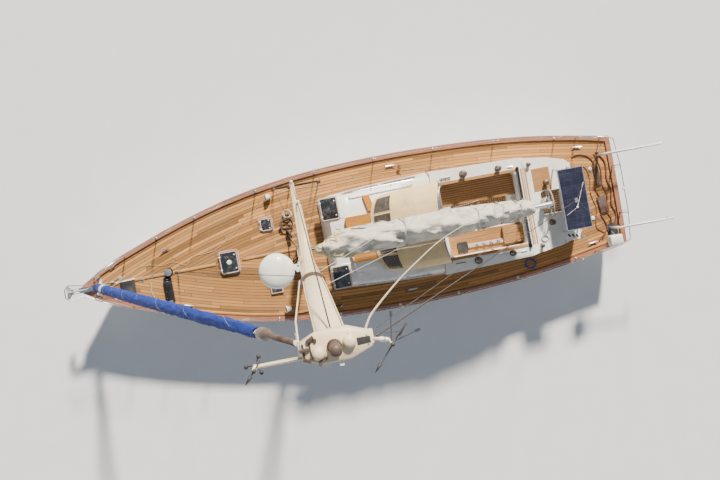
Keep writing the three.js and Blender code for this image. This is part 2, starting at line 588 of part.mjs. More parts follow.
const mastScale = (z) => (z < MAST.taperFrom ? 1
  : THREE.MathUtils.mapLinear(z, MAST.taperFrom, MAST.top, 1, MAST.headScale));

// Plan of the mast's section at a height, grown by a clearance
const mastOutline = (z, grow) => ellipse((MAST.chord / 2) * mastScale(z) + grow,
  (MAST.width / 2) * mastScale(z) + grow, 18).map(([u, v]) => [MAST.x + u, v]);

function buildMast() {
  const foot = deckTop(MAST.x, 0) - FOOT_SINK;
  const ring = (z) => mastOutline(z, 0).map(([x, y]) => [x, y, z]);
  const body = toSolid(loft([foot, MAST.taperFrom, MAST.top].map(ring)));
  add('mast', seated(body, surfaces.deck), finish(colours.mast, 0.4));
  for (const [name, { z, reach }] of Object.entries(SPREADERS)) {
    const root = (MAST.width / 2) * mastScale(z) - 4;
    const wing = (s) => loft([[root, 75, 26], [reach - 60, 42, 18], [reach, 26, 16]].map(([y, chord, thick]) => (
      ellipse(chord, thick, 10).map(([u, v]) => [MAST.x + u, s * y, z + v]))));
    const collar = prism(mastOutline(z, COLLAR_WALL), z - 45, z + 45);
    const bore = prism(mastOutline(z, GAP), z - 60, z + 60);
    add(`spreaders_${name}`, cut(join(collar, wing(1), wing(-1)), bore), finish(colours.mast, 0.4));
  }
}

// Arrow that turns with the wind on its bearing: pointer, tail fin and hub
function windArrow({ x, y }, z, ahead, astern) {
  const [shaft, hub] = [z + 22, z + 45];
  const arrow = join(bar([-astern, 0, shaft], [ahead, 0, shaft], 5, 5, 6), bar([0, 0, z], [0, 0, hub], 12, 12, 10),
    box(-astern, -astern * 0.45, -2, 2, z + 2, z + 78), bar([ahead - 45, 0, shaft], [ahead + 20, 0, shaft], 14, 2, 8));
  return arrow.rotate([0, 0, WIND]).translate([x, y, 0]);
}

function buildMasthead() {
  const z = MAST.top + GAP;
  const { front, aft, deep } = TOP_GEAR;
  const plate = prism([[front, -55], [front, 55], [1440, 105], [1240, 105], [aft, 45], [aft, -45],
    [1240, -105], [1440, -105]], z, z + deep, 10);
  const sheaves = [front - 40, aft + 40].map((x) => bar([x, -45, z + 10], [x, 45, z + 10], 60, 60, 14));
  const armZ = z + 120;
  const arm = bar([front - 50, WIND_SENSOR.y, armZ], [WIND_SENSOR.x, WIND_SENSOR.y, armZ], 14);
  const aftRod = bar([aft + 20, 0, armZ], [WIND_VANE.x, WIND_VANE.y, armZ], 12);
  const sensor = bar([WIND_SENSOR.x, WIND_SENSOR.y, z + WIND_SENSOR.foot],
    [WIND_SENSOR.x, WIND_SENSOR.y, z + WIND_SENSOR.top], 14);
  const rod = bar([WIND_VANE.x, WIND_VANE.y, armZ - 15], [WIND_VANE.x, WIND_VANE.y, z + WIND_VANE.z], 9);
  surfaces.crane = join(plate, ...sheaves, arm, aftRod, sensor, rod);
  add('masthead_crane', surfaces.crane, finish(colours.mast, 0.4));
  const { lightRadius: r, lightTop } = TOP_GEAR;
  const light = turned([[r + 8, z + deep + GAP], [r + 8, z + deep + 22], [r, z + deep + 24], [r, z + lightTop - 15],
    [r - 14, z + lightTop]], 20);
  add('masthead_light', light.translate(MAST.x, 0, 0), finish(colours.brown, 0.3));
  add('wind_vane', windArrow(WIND_VANE, z + WIND_VANE.z + 0.5, 190, 160), finish(colours.dark, 0.4));
  add('wind_sensor_vane', windArrow(WIND_SENSOR, z + WIND_SENSOR.top + 0.5, 85, 100), finish(colours.dark, 0.4));
  const [cupRadius, armRadius] = [17, 62];
  const cupTop = z + WIND_SENSOR.foot - 0.5;
  const cups = steps(0, 2 * Math.PI, 3).slice(0, 3).map((a) => {
    const tip = [WIND_SENSOR.x + armRadius * Math.cos(a), WIND_SENSOR.y + armRadius * Math.sin(a), cupTop - 25];
    return [bar([WIND_SENSOR.x, WIND_SENSOR.y, cupTop - 25], tip, 4, 4, 6),
      new THREE.SphereGeometry(cupRadius, 8, 5).translate(...tip)];
  });
  const cupHub = bar([WIND_SENSOR.x, WIND_SENSOR.y, cupTop - 45], [WIND_SENSOR.x, WIND_SENSOR.y, cupTop], 12, 16, 10);
  add('anemometer', join(cupHub, ...cups.flat()), finish(colours.dark, 0.4));
  const face = MAST.x + MAST.chord / 2 + GAP;
  add('radar_bracket', join(box(face, face + 30, -70, 70, 8700, 9060), box(face + 10, 1990, -50, 50, 8940, 8970),
    bar([face + 20, 0, 8730], [1900, 0, 8945], 18)), finish(colours.mast, 0.4));
  const dome = turned([[250, 8970 + GAP], [292, 9010], [300, 9080], [290, 9150], [235, 9205], [120, 9230]], 24);
  add('radar_dome', dome.translate(1860, 0, 0), finish(colours.white, 0.25));
}

function buildBoom() {
  const { x, z } = GOOSENECK;
  const face = MAST.x - MAST.chord / 2 - GAP;
  const ears = [z + 42, z - 62].map((low) => box(x - 32, face, -32, 32, low, low + 20));
  const pin = bar([x, 0, z - 60], [x, 0, z + 60], 12, 12, 14);
  add('gooseneck', join(box(face - 22, face, -45, 45, z - 110, z + 110), ...ears, pin), finish(colours.alloy, 0.35, 0.8));
  const eye = cut(join(bar([x, 0, z - 36], [x, 0, z + 36], 28, 28, 16), box(x - 90, x - 20, -20, 20, z - 36, z + 36)),
    bar([x, 0, z - 80], [x, 0, z + 80], 12.7, 12.7, 16));
  const section = (k) => ellipse((BOOM.width / 2) * k, (BOOM.height / 2) * k, 16);
  const stations = [[x - 70, 0.75], [x - 110, 1], [BOOM.end + 60, 1], [BOOM.end, 0.8]];
  const tube = loft(stations.map(([px, k]) => section(k).map(([u, v]) => [px, u, z + v])));
  const bail = box(BOOM.end + 6, BOOM.end - 60, -10, 10, z + 10, z + 70);
  add('boom', eye.add(join(tube, bail)), finish(colours.alloy, 0.35, 0.8));
}

// Flaked sail on the boom: x, half width, low edge below the boom's axis, top above it
const BUNDLE = [[880, 90, -30, 330], [620, 230, -180, 430], [200, 330, -210, 460], [-500, 360, -190, 400],
  [-1300, 330, -160, 380], [-2100, 340, -170, 350], [-3000, 300, -150, 320], [-3800, 250, -140, 280],
  [-4230, 160, -100, 220]];

function buildMainsail() {
  const { z } = GOOSENECK;
  const rings = BUNDLE.map(([x, w, low, high]) => steps(0, 2 * Math.PI, 14).slice(0, 14).map((t) => {
    const [c, s] = [Math.cos(t), Math.sin(t)];
    const mid = (low + high) / 2;
    return [x, w * Math.sign(c) * Math.abs(c) ** 0.8, z + mid + ((high - low) / 2) * s];
  }));
  const halfWidth = BOOM.width / 2 + GAP;
  const spar = box(1000, -4700, -halfWidth, halfWidth, z - 400, z + BOOM.height / 2 + GAP);
  add('mainsail', cut(toSolid(loft(rings)), spar), finish(colours.sail, 0.85));
}

// Point on the forestay's line, k from 0 at its foot to 1 at its head, and across it
const stayPoint = (k) => [
  THREE.MathUtils.lerp(STAY.foot[0], STAY.head[0], k), 0, THREE.MathUtils.lerp(STAY.foot[1], STAY.head[1], k),
];

// Piece turned about the forestay: rows of place along the stay and radius
function turnedOnStay(profile, sides = 14) {
  const axis = new THREE.Vector3(...stayPoint(1)).sub(new THREE.Vector3(...stayPoint(0))).normalize();
  const across = new THREE.Vector3(0, 1, 0);
  const up = new THREE.Vector3().crossVectors(axis, across);
  return loft(profile.map(([k, r]) => ellipse(r, r, sides).map(([a, b]) => (
    new THREE.Vector3(...stayPoint(k)).addScaledVector(across, a).addScaledVector(up, b).toArray()))));
}

function buildHeadsail() {
  const furled = [[0.02173, 60], [0.028, 88], [0.1, 92], [0.5, 72], [0.9, 38], [0.925, 26]];
  add('furled_headsail', turnedOnStay(furled), finish(colours.blue, 0.8));
  const drum = [[0.0065, 95], [0.0075, 95], [0.0076, 45], [0.0164, 45], [0.0165, 95], [0.0174, 95],
    [0.0175, 30], [0.0217, 30]];
  add('furler_drum', turnedOnStay(drum), finish(colours.dark, 0.4));
  const swivel = [[0.92503, 30], [0.928, 52], [0.938, 52], [0.9405, 24], [0.984, 24]];
  add('headsail_swivel', turnedOnStay(swivel), finish(colours.brown, 0.4, 0.4));
  const tack = bar(stayPoint(0.00644), [STAY.foot[0] + 40, 0, 1640], 16, 16, 10);
  const fitting = box(6180, 6800, -55, 55, sheer(6400) + RAIL_HEIGHT + 40, 1655);
  const cheeks = [58, -58].map((y) => box(6560, 7020, y - 6, y + 6, 1600, 1700));
  const roller = bar([6975, -60, 1650], [6975, 60, 1650], 38, 38, 16);
  const post = box(6190, 6330, -40, 40, deckTop(6200, 0) - FOOT_SINK, 1640);
  const stem = join(tack, fitting, ...cheeks, roller, post);
  add('stem_fitting', seated(stem, surfaces.deck), finish(colours.steel, 0.3, 0.9));
  const toggle = bar(stayPoint(0.98403), stayPoint(1.008), 10, 10, 8);
  add('forestay_toggle', hung(toSolid(toggle), surfaces.crane), finish(colours.steel, 0.3, 0.9));
}

function buildShrouds() {
  const wire = 6;
  for (const [name, s] of [['port', 1], ['starboard', -1]]) {
    const foot = (x) => [x, s * CHAINPLATE.y, deckTop(x, CHAINPLATE.y) + 15];
    const { lower, upper } = SPREADERS;
    const tip = (spreader) => [MAST.x, s * (spreader.reach + 12), spreader.z];
    const head = [MAST.x, s * (MAST.width * 0.41 + 10), MAST.top - 60];
    const hound = [MAST.x, s * (MAST.width / 2 + 12), lower.z - 120];
    const cap = bentTube([foot(CHAINPLATE.x), tip(lower), tip(upper), head], wire, 5);
    const lowers = [CHAINPLATE.aftX, CHAINPLATE.foreX].map((x) => bar(foot(x), hound, wire, wire, 6));
    const [aftEnd, foreEnd] = [CHAINPLATE.aftX - 60, CHAINPLATE.foreX + 60];
    const plate = loft([aftEnd, foreEnd].map((x) => [[x, s * CHAINPLATE.y - 16], [x, s * CHAINPLATE.y + 16]]
      .flatMap(([px, py], i) => {
        const z = deckTop(px, CHAINPLATE.y);
        const pair = [[px, py, z - FOOT_SINK], [px, py, z + 22]];
        return i === 0 ? pair : pair.reverse();
      })));
    add(`shrouds_${name}`, seated(join(cap, ...lowers, plate), surfaces.deck), finish(colours.steel, 0.3, 0.9));
  }
  const padZ = deckTop(INNER_STAY.x, 0);
  const inner = [bar([INNER_STAY.x, 0, padZ], [MAST.x + MAST.chord / 2 + 7, 0, INNER_STAY.head], 6, 6, 6),
    box(INNER_STAY.x - 60, INNER_STAY.x + 60, -25, 25, padZ - FOOT_SINK, padZ + 14)];
  add('inner_forestay', seated(join(...inner), surfaces.deck), finish(colours.steel, 0.3, 0.9));
  const joint = [BACKSTAY.joint[0], 0, BACKSTAY.joint[1]];
  const legs = [1, -1].map((s) => bar(joint, [BACKSTAY.quarterX, s * BACKSTAY.quarterY,
    deckTop(BACKSTAY.quarterX, BACKSTAY.quarterY) - 3], 6, 6, 6));
  const upper = bar(joint, [1052, 0, MAST.top + 60], 6, 6, 6);
  const backstay = join(upper, ...legs, new THREE.SphereGeometry(28, 10, 8).translate(...joint));
  add('backstay', seated(backstay, surfaces.deck), finish(colours.steel, 0.3, 0.9));
}

function buildHatchLids() {
  for (const { name, hinge, aft, y, half, z } of HATCHES) {
    const lid = prism(roundedRect(aft, hinge, y - half, y + half, 50), z + GAP, z + 28, 6);
    add(name, indexed(lid), finish(colours.dark, 0.2));
  }
}

function buildPanel() {
  const { front, aft, halfWidth, z, thickness } = PANEL;
  add('solar_panel', box(aft, front, -halfWidth, halfWidth, z, z + thickness), finish(colours.panel, 0.2, 0.2));
  const low = z - 16 - GAP;
  const x0 = front - 90;
  const x1 = aft + 190;
  const footZ = COCKPIT.aftTop - FOOT_SINK;
  const hoop = (x) => [[x, -790, footZ], [x, -700, low], [x, 700, low], [x, 790, footZ]];
  const frame = [bentTube(hoop(x0), 16), bentTube(hoop(x1), 16),
    bar([x0, -500, low], [x1, -500, low], 12), bar([x0, 500, low], [x1, 500, low], 12)];
  add('panel_frame', seated(join(...frame), surfaces.cockpit), finish(colours.steel, 0.25, 0.9));
}

// Stanchion places: x down each side deck
const STANCHIONS = [4780, 3790, 2210, 700, -820, -2330, -3880, -5430];

function railPoint(x, s, height) {
  return [x, s * (halfBeam(x) - 60), sheer(x) + RAIL_HEIGHT + height];
}

function buildRails() {
  const tube = RAIL_TUBE;
  const foot = -FOOT_SINK;
  const bowPoints = [5600, 6150, 6560];
  const rail = (s) => bowPoints.map((x) => railPoint(x, s, STANCHION_HEIGHT));
  const nose = [7010, 0, sheer(6800) + RAIL_HEIGHT + STANCHION_HEIGHT + 30];
  const cheek = (s) => [6890, s * 190, nose[2]];
  const pulpit = [bentTube([...rail(1), cheek(1), [7000, 90, nose[2]], [7000, -90, nose[2]], cheek(-1),
    ...rail(-1).reverse()], tube)];
  for (const s of [1, -1]) {
    for (const x of [5600, 6400]) {
      pulpit.push(bar(railPoint(x, s, foot), railPoint(x, s, STANCHION_HEIGHT), tube, tube, 6));
    }
    pulpit.push(bar(railPoint(5600, s, LIFELINE_HEIGHTS[1]), railPoint(6400, s, LIFELINE_HEIGHTS[1]), 10, 10, 6));
  }
  add('pulpit', seated(join(...pulpit), surfaces.rail), finish(colours.steel, 0.25, 0.9));

  const stern = sheer(-6700) + RAIL_HEIGHT;
  const corner = (s) => [-6690, s * 1270, stern + STANCHION_HEIGHT];
  const push = [bentTube([railPoint(-5960, 1, STANCHION_HEIGHT), railPoint(-6500, 1, STANCHION_HEIGHT), corner(1),
    [-6760, 600, stern + STANCHION_HEIGHT], [-6760, -600, stern + STANCHION_HEIGHT], corner(-1),
    railPoint(-6500, -1, STANCHION_HEIGHT), railPoint(-5960, -1, STANCHION_HEIGHT)], tube)];
  for (const s of [1, -1]) {
    for (const x of [-5960, -6560]) {
      push.push(bar(railPoint(x, s, foot), railPoint(x, s, STANCHION_HEIGHT), tube, tube, 6));
    }
    push.push(bar([-6750, s * 600, stern + 20], [-6760, s * 600, stern + STANCHION_HEIGHT], tube, tube, 6));
    push.push(bar(railPoint(-5960, s, LIFELINE_HEIGHTS[1]), railPoint(-6560, s, LIFELINE_HEIGHTS[1]), 10, 10, 6));
  }
  add('pushpit', seated(join(...push), surfaces.rail), finish(colours.steel, 0.25, 0.9));

  for (const [name, s] of [['port', 1], ['starboard', -1]]) {
    const parts = STANCHIONS.map((x) => bar(railPoint(x, s, foot), railPoint(x, s, STANCHION_HEIGHT), tube, tube, 6));
    for (const h of LIFELINE_HEIGHTS) {
      const stops = [5570, ...STANCHIONS, -5930];
      const points = stops.map((x) => railPoint(x, s, h));
      parts.push(bentTube(points, 4, 5));
    }
    add(`lifelines_${name}`, seated(join(...parts), surfaces.rail), finish(colours.steel, 0.3, 0.9));
  }
}

function buildStern() {
  for (const [name, s] of [['port', 1], ['starboard', -1]]) {
    const foot = [-6450, s * 930, deckTop(-6450, 930) - FOOT_SINK];
    const elbow = [-6480, s * 930, 2005];
    const tip = [-7800, s * 930, 2110];
    add(`davit_${name}`, seated(join(bentTube([foot, elbow, tip], 30, 10)), surfaces.deck), finish(colours.white, 0.35));
  }
  const railSide = railPoint(-6500, 1, 0)[1] - RAIL_TUBE + 3;
  const buoy = prism(roundedRect(-6500, -6190, railSide - 240, railSide, 20), 1690, 2000, 20);
  add('lifebuoy', indexed(buoy), finish(colours.white, 0.6));
}

// Winches: name, x, y, height of the seat, scale
const WINCHES = [
  ['primary_winch_starboard', -2860, -1080, 1], ['primary_winch_port', -2860, 1080, 1],
  ['secondary_winch_starboard', -3740, -1060, 0.85], ['secondary_winch_port', -3740, 1060, 0.85],
];

function buildDeckGear() {
  for (const [name, x, y, k] of WINCHES) {
    const drum = turned([[92, 0], [92, 22], [66, 40], [56, 75], [60, 125], [84, 150], [84, 172], [34, 184]]
      .map(([r, h]) => [r * k, h * k]), 14);
    add(name, drum.translate(x, y, COCKPIT.top + GAP), finish(colours.steel, 0.2, 0.95));
  }
  const { x, halfLength, inner, outer, height, capstan } = WINDLASS;
  const foot = deckTop(x, outer) - FOOT_SINK;
  const drum = turned([[105, 0], [105, 50], [72, 75], [64, 150], [98, 185], [98, 205], [30, 222]], 18);
  const gearbox = prism(roundedRect(x - halfLength, x + halfLength, inner, outer, 45), foot, foot + height, 14);
  const shaft = bar([x, capstan[1], foot + 75], [x, inner + 40, foot + 75], 40, 40, 12);
  const windlass = join(drum.translate(...capstan, foot), gearbox, shaft);
  const underDeck = surfaces.deck.translate([0, 0, GAP - DECK_THICKNESS]);
  add('windlass', seated(windlass, surfaces.deck, underDeck), finish(colours.dark, 0.4, 0.6));
  const shank = bar([6450, 0, 1711.8], [7060, 0, 1707.8], 20, 20, 8);
  const fluke = loft([[7030, 28, 1735], [7075, 150, 1600], [7060, 170, 1450], [6990, 20, 1340]].map(([x, w, z]) => [
    [x + 40, w, z], [x, 0, z - 60], [x + 40, -w, z], [x + 25, 0, z - 15]]));
  add('anchor', join(shank, fluke), finish(colours.alloy, 0.5, 0.7));
}

// Slack main halyard from the masthead's aft sheave to the top of the flaked sail
const HALYARD = { radius: 9, route: [[1120, 0, 18510.8], [1112, 0, 18400], [1055, 0, 17900], [923, 0, 17095],
  [440, 0, 14789], [-163, 2, 12200], [-660, 8, 10100], [-1225, 14, 7934], [-1860, 20, 5750], [-2420, 23, 4150],
  [-2780, 24, 3420], [-2900, 25, 3236]] };

// Furling line from the drum along the starboard deck to the side of the cockpit: its plan on deck, and its ends
const CORD_LIFT = 4;               // height of a lying cord over the deck's own curve
const FURLING_LINE = { radius: 6, from: [[6230, 50, 1905], [6165, 60, 1750], [6080, 55, 1600]],
  deck: [[5964, 28], [5619, -129], [5297, -290], [5005, -283], [4776, -222], [4519, -265], [4337, -192],
    [4203, -117], [4022, -294], [3747, -317], [3442, -358], [3138, -526], [2882, -702], [2559, -967], [2292, -1163],
    [1915, -1380], [1592, -1455], [1200, -1480], [600, -1470], [-400, -1490], [-1300, -1465], [-2000, -1420],
    [-2400, -1385]],
  to: [[-2580, -1340, 1450], [-2680, -1305, 1600], [-2740, -1294, 1720]] };

function cordTube(route, radius) {
  const path = new THREE.CatmullRomCurve3(route.map((p) => new THREE.Vector3(...p)), false, 'centripetal');
  const section = new THREE.Shape(ellipse(radius, radius, 8).map(([u, v]) => new THREE.Vector2(u, v)));
  return outward(indexed(new THREE.ExtrudeGeometry(section, { steps: 80, extrudePath: path, bevelEnabled: false })));
}

function buildCords() {
  add('main_halyard', cordTube(HALYARD.route, HALYARD.radius), finish(colours.rope, 0.9));
  const { radius, from, deck, to } = FURLING_LINE;
  const plan = new THREE.CatmullRomCurve3(deck.map(([x, y]) => new THREE.Vector3(x, y, 0)), false, 'centripetal');
  const lying = plan.getSpacedPoints(70).map(({ x, y }) => [x, y, deckTop(x, y) + radius + CORD_LIFT]);
  add('furling_line', cordTube([...from, ...lying, ...to], radius), finish(colours.rope, 0.9));
}

buildHull();
buildUnderwater();
buildDeckhouse();
buildCompanionway();
buildSprayhood();
buildCockpit();
buildHelm();
buildMast();
buildMasthead();
buildBoom();
buildMainsail();
buildHeadsail();
buildShrouds();
buildHatchLids();
buildPanel();
buildRails();
buildStern();
buildDeckGear();
buildCords();

export default sloop;
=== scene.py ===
"""Dresses the solids of a cruising sloop at anchor: planking, canvas, sails, rigging and deck gear."""

import json
import math

import bmesh
import bpy
import numpy as np
from bpy.props import FloatProperty, FloatVectorProperty, IntProperty, PointerProperty
from mathutils import Matrix, Vector, noise
from mathutils.bvhtree import BVHTree

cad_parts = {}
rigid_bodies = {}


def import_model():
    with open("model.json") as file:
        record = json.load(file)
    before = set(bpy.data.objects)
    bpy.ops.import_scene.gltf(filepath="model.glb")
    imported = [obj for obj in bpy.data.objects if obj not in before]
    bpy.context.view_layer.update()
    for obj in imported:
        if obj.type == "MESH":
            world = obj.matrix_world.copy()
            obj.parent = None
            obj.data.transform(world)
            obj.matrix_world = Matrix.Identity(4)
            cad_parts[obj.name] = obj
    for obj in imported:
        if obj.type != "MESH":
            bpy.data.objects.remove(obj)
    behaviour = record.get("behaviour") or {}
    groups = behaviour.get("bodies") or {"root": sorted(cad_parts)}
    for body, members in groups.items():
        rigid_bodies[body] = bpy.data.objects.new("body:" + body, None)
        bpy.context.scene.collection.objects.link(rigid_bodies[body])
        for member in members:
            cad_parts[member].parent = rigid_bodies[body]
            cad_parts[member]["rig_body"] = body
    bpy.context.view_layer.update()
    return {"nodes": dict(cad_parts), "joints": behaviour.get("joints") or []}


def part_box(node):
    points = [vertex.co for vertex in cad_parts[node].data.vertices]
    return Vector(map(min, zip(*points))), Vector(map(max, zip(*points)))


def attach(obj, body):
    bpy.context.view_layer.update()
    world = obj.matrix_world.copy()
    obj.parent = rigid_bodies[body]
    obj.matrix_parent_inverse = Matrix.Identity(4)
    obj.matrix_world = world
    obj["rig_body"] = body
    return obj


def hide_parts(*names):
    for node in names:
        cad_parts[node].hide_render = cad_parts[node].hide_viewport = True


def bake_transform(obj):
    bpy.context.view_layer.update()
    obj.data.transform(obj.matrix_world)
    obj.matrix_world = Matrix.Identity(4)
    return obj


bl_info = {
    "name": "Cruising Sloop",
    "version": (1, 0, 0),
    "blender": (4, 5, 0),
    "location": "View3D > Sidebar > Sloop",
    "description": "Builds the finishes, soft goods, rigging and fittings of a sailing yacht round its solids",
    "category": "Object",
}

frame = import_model()
NODES = frame["nodes"]
JOINTS = {j["name"]: j for j in frame["joints"]}

# Camera fitted to the photograph: place and turned axes in metres, and its lens on a 36 mm sensor
CAMERA_AT = Vector((1.46, -0.898, 24.829))
CAMERA_RIGHT = Vector((-0.980361, 0.183060, 0.073349))
CAMERA_UP = Vector((-0.185495, -0.982251, -0.027839))
CAMERA_LENS = 47.24

HULL_SLICES = 25
DECK_EDGE = 0.105          # width of the deck's margin that lies under the cap rail
RAIL_HEIGHT = 0.08
MAST_X, MAST_CHORD, MAST_WIDTH = 1.34, 0.24, 0.16
BOOM_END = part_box("boom")[0].x
STAY_FOOT = Vector(JOINTS["furler_spin"]["pos_m"])
STAY_HEAD = Vector((1.52, 0, 18.46))
SPREADERS = {"lower": (7.25, 1.475), "upper": (12.1, 1.03)}
STANCHIONS = (4.78, 3.79, 2.21, 0.7, -0.82, -2.33, -3.88, -5.43)
HATCHES = {
    "fore_hatch": (2.93, 3.38, 0, 0.27), "foredeck_hatch": (1.95, 2.25, -0.745, 0.155),
    "roof_hatch_port": (0.3, 0.74, 0.84, 0.28), "roof_hatch_starboard": (0.3, 0.74, -0.84, 0.28),
}


def colour(name, description, default):
    """A colour that a user may change, as a property."""
    return FloatVectorProperty(name=name, description=description, default=default, size=3, min=0, max=1,
                               subtype="COLOR")


def length(name, description, default):
    """A length in metres that a user may change, as a property."""
    return FloatProperty(name=name, description=description, default=default, min=0.0005, max=3.0,
                         subtype="DISTANCE", unit="LENGTH")


class SloopSizes(bpy.types.PropertyGroup):
    """Sizes of planks, ropes, wires and cloth"""

    plank: length("Plank width", "Width of one deck plank with its seam", 0.075)
    seam: length("Seam width", "Width of the caulked seam between planks", 0.0095)
    plank_length: length("Plank length", "Distance between the butts of one plank", 2.4)
    halyard: length("Halyard thickness", "Diameter of halyards and sheets", 0.014)
    line: length("Light line thickness", "Diameter of furling and reefing lines", 0.012)
    small_line: length("Lashing thickness", "Diameter of lashings and lazy jacks", 0.008)
    sail_flake: length("Flake width", "Width of one flake of the mainsail over the boom", 0.62)
    flakes: IntProperty(name="Flakes", description="Number of flakes of the mainsail", default=11, min=4,
                        max=40)
    cloth: length("Cloth thickness", "Thickness of modelled sailcloth and canvas", 0.003)
    seed: IntProperty(name="Seed", description="Seed of the folds and of the wood's tones", default=7)


class SloopColours(bpy.types.PropertyGroup):
    """Colours of the finishes"""

    teak: colour("Teak", "Weathered deck teak", (0.45, 0.215, 0.066))
    rail: colour("Rail wood", "Oiled cap rail", (0.33, 0.14, 0.075))
    varnish: colour("Varnish", "Varnished mahogany", (0.50, 0.19, 0.015))
    gelcoat: colour("Gelcoat", "White glass fibre", (0.86, 0.84, 0.78))
    topsides: colour("Topsides", "Paint of the hull's sides", (0.78, 0.77, 0.73))
    stripe: colour("Boot stripe", "Stripe above the waterline", (0.02, 0.04, 0.14))
    antifoul: colour("Bottom paint", "Paint below the waterline", (0.03, 0.07, 0.19))
    spar: colour("Spar paint", "Cream paint of the mast", (0.80, 0.65, 0.41))
    canvas: colour("Canvas", "Sprayhood canvas", (0.86, 0.65, 0.35))
    sail: colour("Sailcloth", "Flaked mainsail", (0.74, 0.69, 0.585))
    cover: colour("Sail cover", "Blue strip on the rolled headsail", (0.002, 0.036, 0.33))
    rope: colour("Rope", "Cream rope", (0.66, 0.56, 0.40))
    dark_rope: colour("Dark rope", "Aged dark rope", (0.10, 0.07, 0.05))
    cells: colour("Solar cells", "Cells of the solar panel", (0.005, 0.006, 0.022))
    brown: colour("Brown plastic", "Aged plastic of the masthead light", (0.065, 0.030, 0.018))


def sizes():
    return bpy.context.scene.sloop_sizes


def colours():
    return bpy.context.scene.sloop_colours


class Value:
    """A shader socket in sums and products with numbers and other sockets."""

    def __init__(self, graph, socket):
        self.graph = graph
        self.socket = socket

    def __add__(self, other):
        return self.graph.math("ADD", self, other)

    def __sub__(self, other):
        return self.graph.math("SUBTRACT", self, other)

    def __rsub__(self, other):
        return self.graph.math("SUBTRACT", other, self)

    def __mul__(self, other):
        return self.graph.math("MULTIPLY", self, other)

    def __truediv__(self, other):
        return self.graph.math("DIVIDE", self, other)

    def __lt__(self, other):
        return self.graph.math("LESS_THAN", self, other)

    def __gt__(self, other):
        return self.graph.math("GREATER_THAN", self, other)

    def __abs__(self):
        return self.graph.math("ABSOLUTE", self)

    __radd__ = __add__
    __rmul__ = __mul__

    def floor(self):
        return self.graph.math("FLOOR", self)

    def fract(self):
        return self.graph.math("FRACT", self)


class Finish:
    """A procedural material that ends in one Principled shader."""

    def __init__(self, name):
        self.material = bpy.data.materials.new(name)
        self.material.use_nodes = True
        self.tree = self.material.node_tree
        self.tree.nodes.clear()

    def node(self, kind, settings=None, inputs=None):
        made = self.tree.nodes.new(kind)
        for key, value in (settings or {}).items():
            setattr(made, key, value)
        for key, value in (inputs or {}).items():
            self.feed(made.inputs[key], value)
        return made

    def feed(self, socket, value):
        if isinstance(value, Value):
            self.tree.links.new(value.socket, socket)
        elif socket.type == "RGBA" and len(value) == 3:
            socket.default_value = (*value, 1)
        else:
            socket.default_value = value

    def out(self, made, key=0):
        return Value(self, made.outputs[key])

    def math(self, operation, *values):
        return self.out(self.node("ShaderNodeMath", {"operation": operation}, dict(enumerate(values))))

    def place(self, scale=(1, 1, 1), turn=(0, 0, 0), at=(0, 0, 0), uv=None):
        """Coordinates on the object, or on its UV map, moved, turned and scaled."""
        if uv:
            source = self.out(self.node("ShaderNodeUVMap", {"uv_map": uv}))
        else:
            source = self.out(self.node("ShaderNodeTexCoord"), "Object")
        return self.out(self.node("ShaderNodeMapping", {}, {
            "Vector": source, "Location": at, "Rotation": turn, "Scale": scale}))

    def axes(self, coordinates):
        made = self.node("ShaderNodeSeparateXYZ", {}, {0: coordinates})
        return [self.out(made, i) for i in range(3)]

    def join(self, x, y, z=0.0):
        return self.out(self.node("ShaderNodeCombineXYZ", {}, {0: x, 1: y, 2: z}))

    def noise(self, coordinates, scale, detail=3.0, roughness=0.55, distortion=0.0):
        made = self.node("ShaderNodeTexNoise", {}, {
            "Vector": coordinates, "Scale": scale, "Detail": detail, "Roughness": roughness,
            "Distortion": distortion})
        return self.out(made, "Fac")

    def dots(self, coordinates, scale):
        made = self.node("ShaderNodeTexVoronoi", {}, {"Vector": coordinates, "Scale": scale})
        return self.out(made, "Distance")

    def chance(self, coordinates):
        return self.out(self.node("ShaderNodeTexWhiteNoise", {}, {"Vector": coordinates}), "Value")

    def span(self, value, low, high, to_low=0.0, to_high=1.0):
        """The value's place between two bounds, kept within the new bounds."""
        made = self.node("ShaderNodeMapRange", {"clamp": True}, {
            "Value": value, "From Min": low, "From Max": high, "To Min": to_low, "To Max": to_high})
        return self.out(made, "Result")

    def mix(self, factor, a, b):
        made = self.node("ShaderNodeMix", {"data_type": "RGBA", "clamp_factor": True})
        for key, value in (("Factor_Float", factor), ("A_Color", a), ("B_Color", b)):
            self.feed(next(s for s in made.inputs if s.identifier == key), value)
        return Value(self, next(s for s in made.outputs if s.identifier == "Result_Color"))

    def tones(self, value, *stops):
        """Colour from a ramp; each stop is a place and a colour."""
        made = self.node("ShaderNodeValToRGB")
        ramp = made.color_ramp
        for i, (at, tone) in enumerate(stops):
            stop = ramp.elements[i] if i < 2 else ramp.elements.new(at)
            stop.position = at
            stop.color = (*tone, 1)
        self.feed(made.inputs[0], value)
        return self.out(made, "Color")

    def bump(self, height, distance, strength=1.0, under=None):
        inputs = {"Height": height, "Distance": distance, "Strength": strength}
        if under is not None:
            inputs["Normal"] = under
        return self.out(self.node("ShaderNodeBump", {}, inputs), "Normal")

    def close(self, **sockets):
        """Ends the material in a Principled shader with these sockets, spaces written as underscores."""
        inputs = {key.replace("_", " "): value for key, value in sockets.items()}
        shader = self.node("ShaderNodeBsdfPrincipled", {}, inputs)
        output = self.node("ShaderNodeOutputMaterial")
        self.tree.links.new(shader.outputs[0], output.inputs["Surface"])
        return self.material


def tone(base, factor):
    """The colour made lighter or darker."""
    return tuple(min(1.0, c * factor) for c in base)


UP = Vector((0, 0, 1))
CENTRE = 0.001             # radius at which the end of a turned piece closes

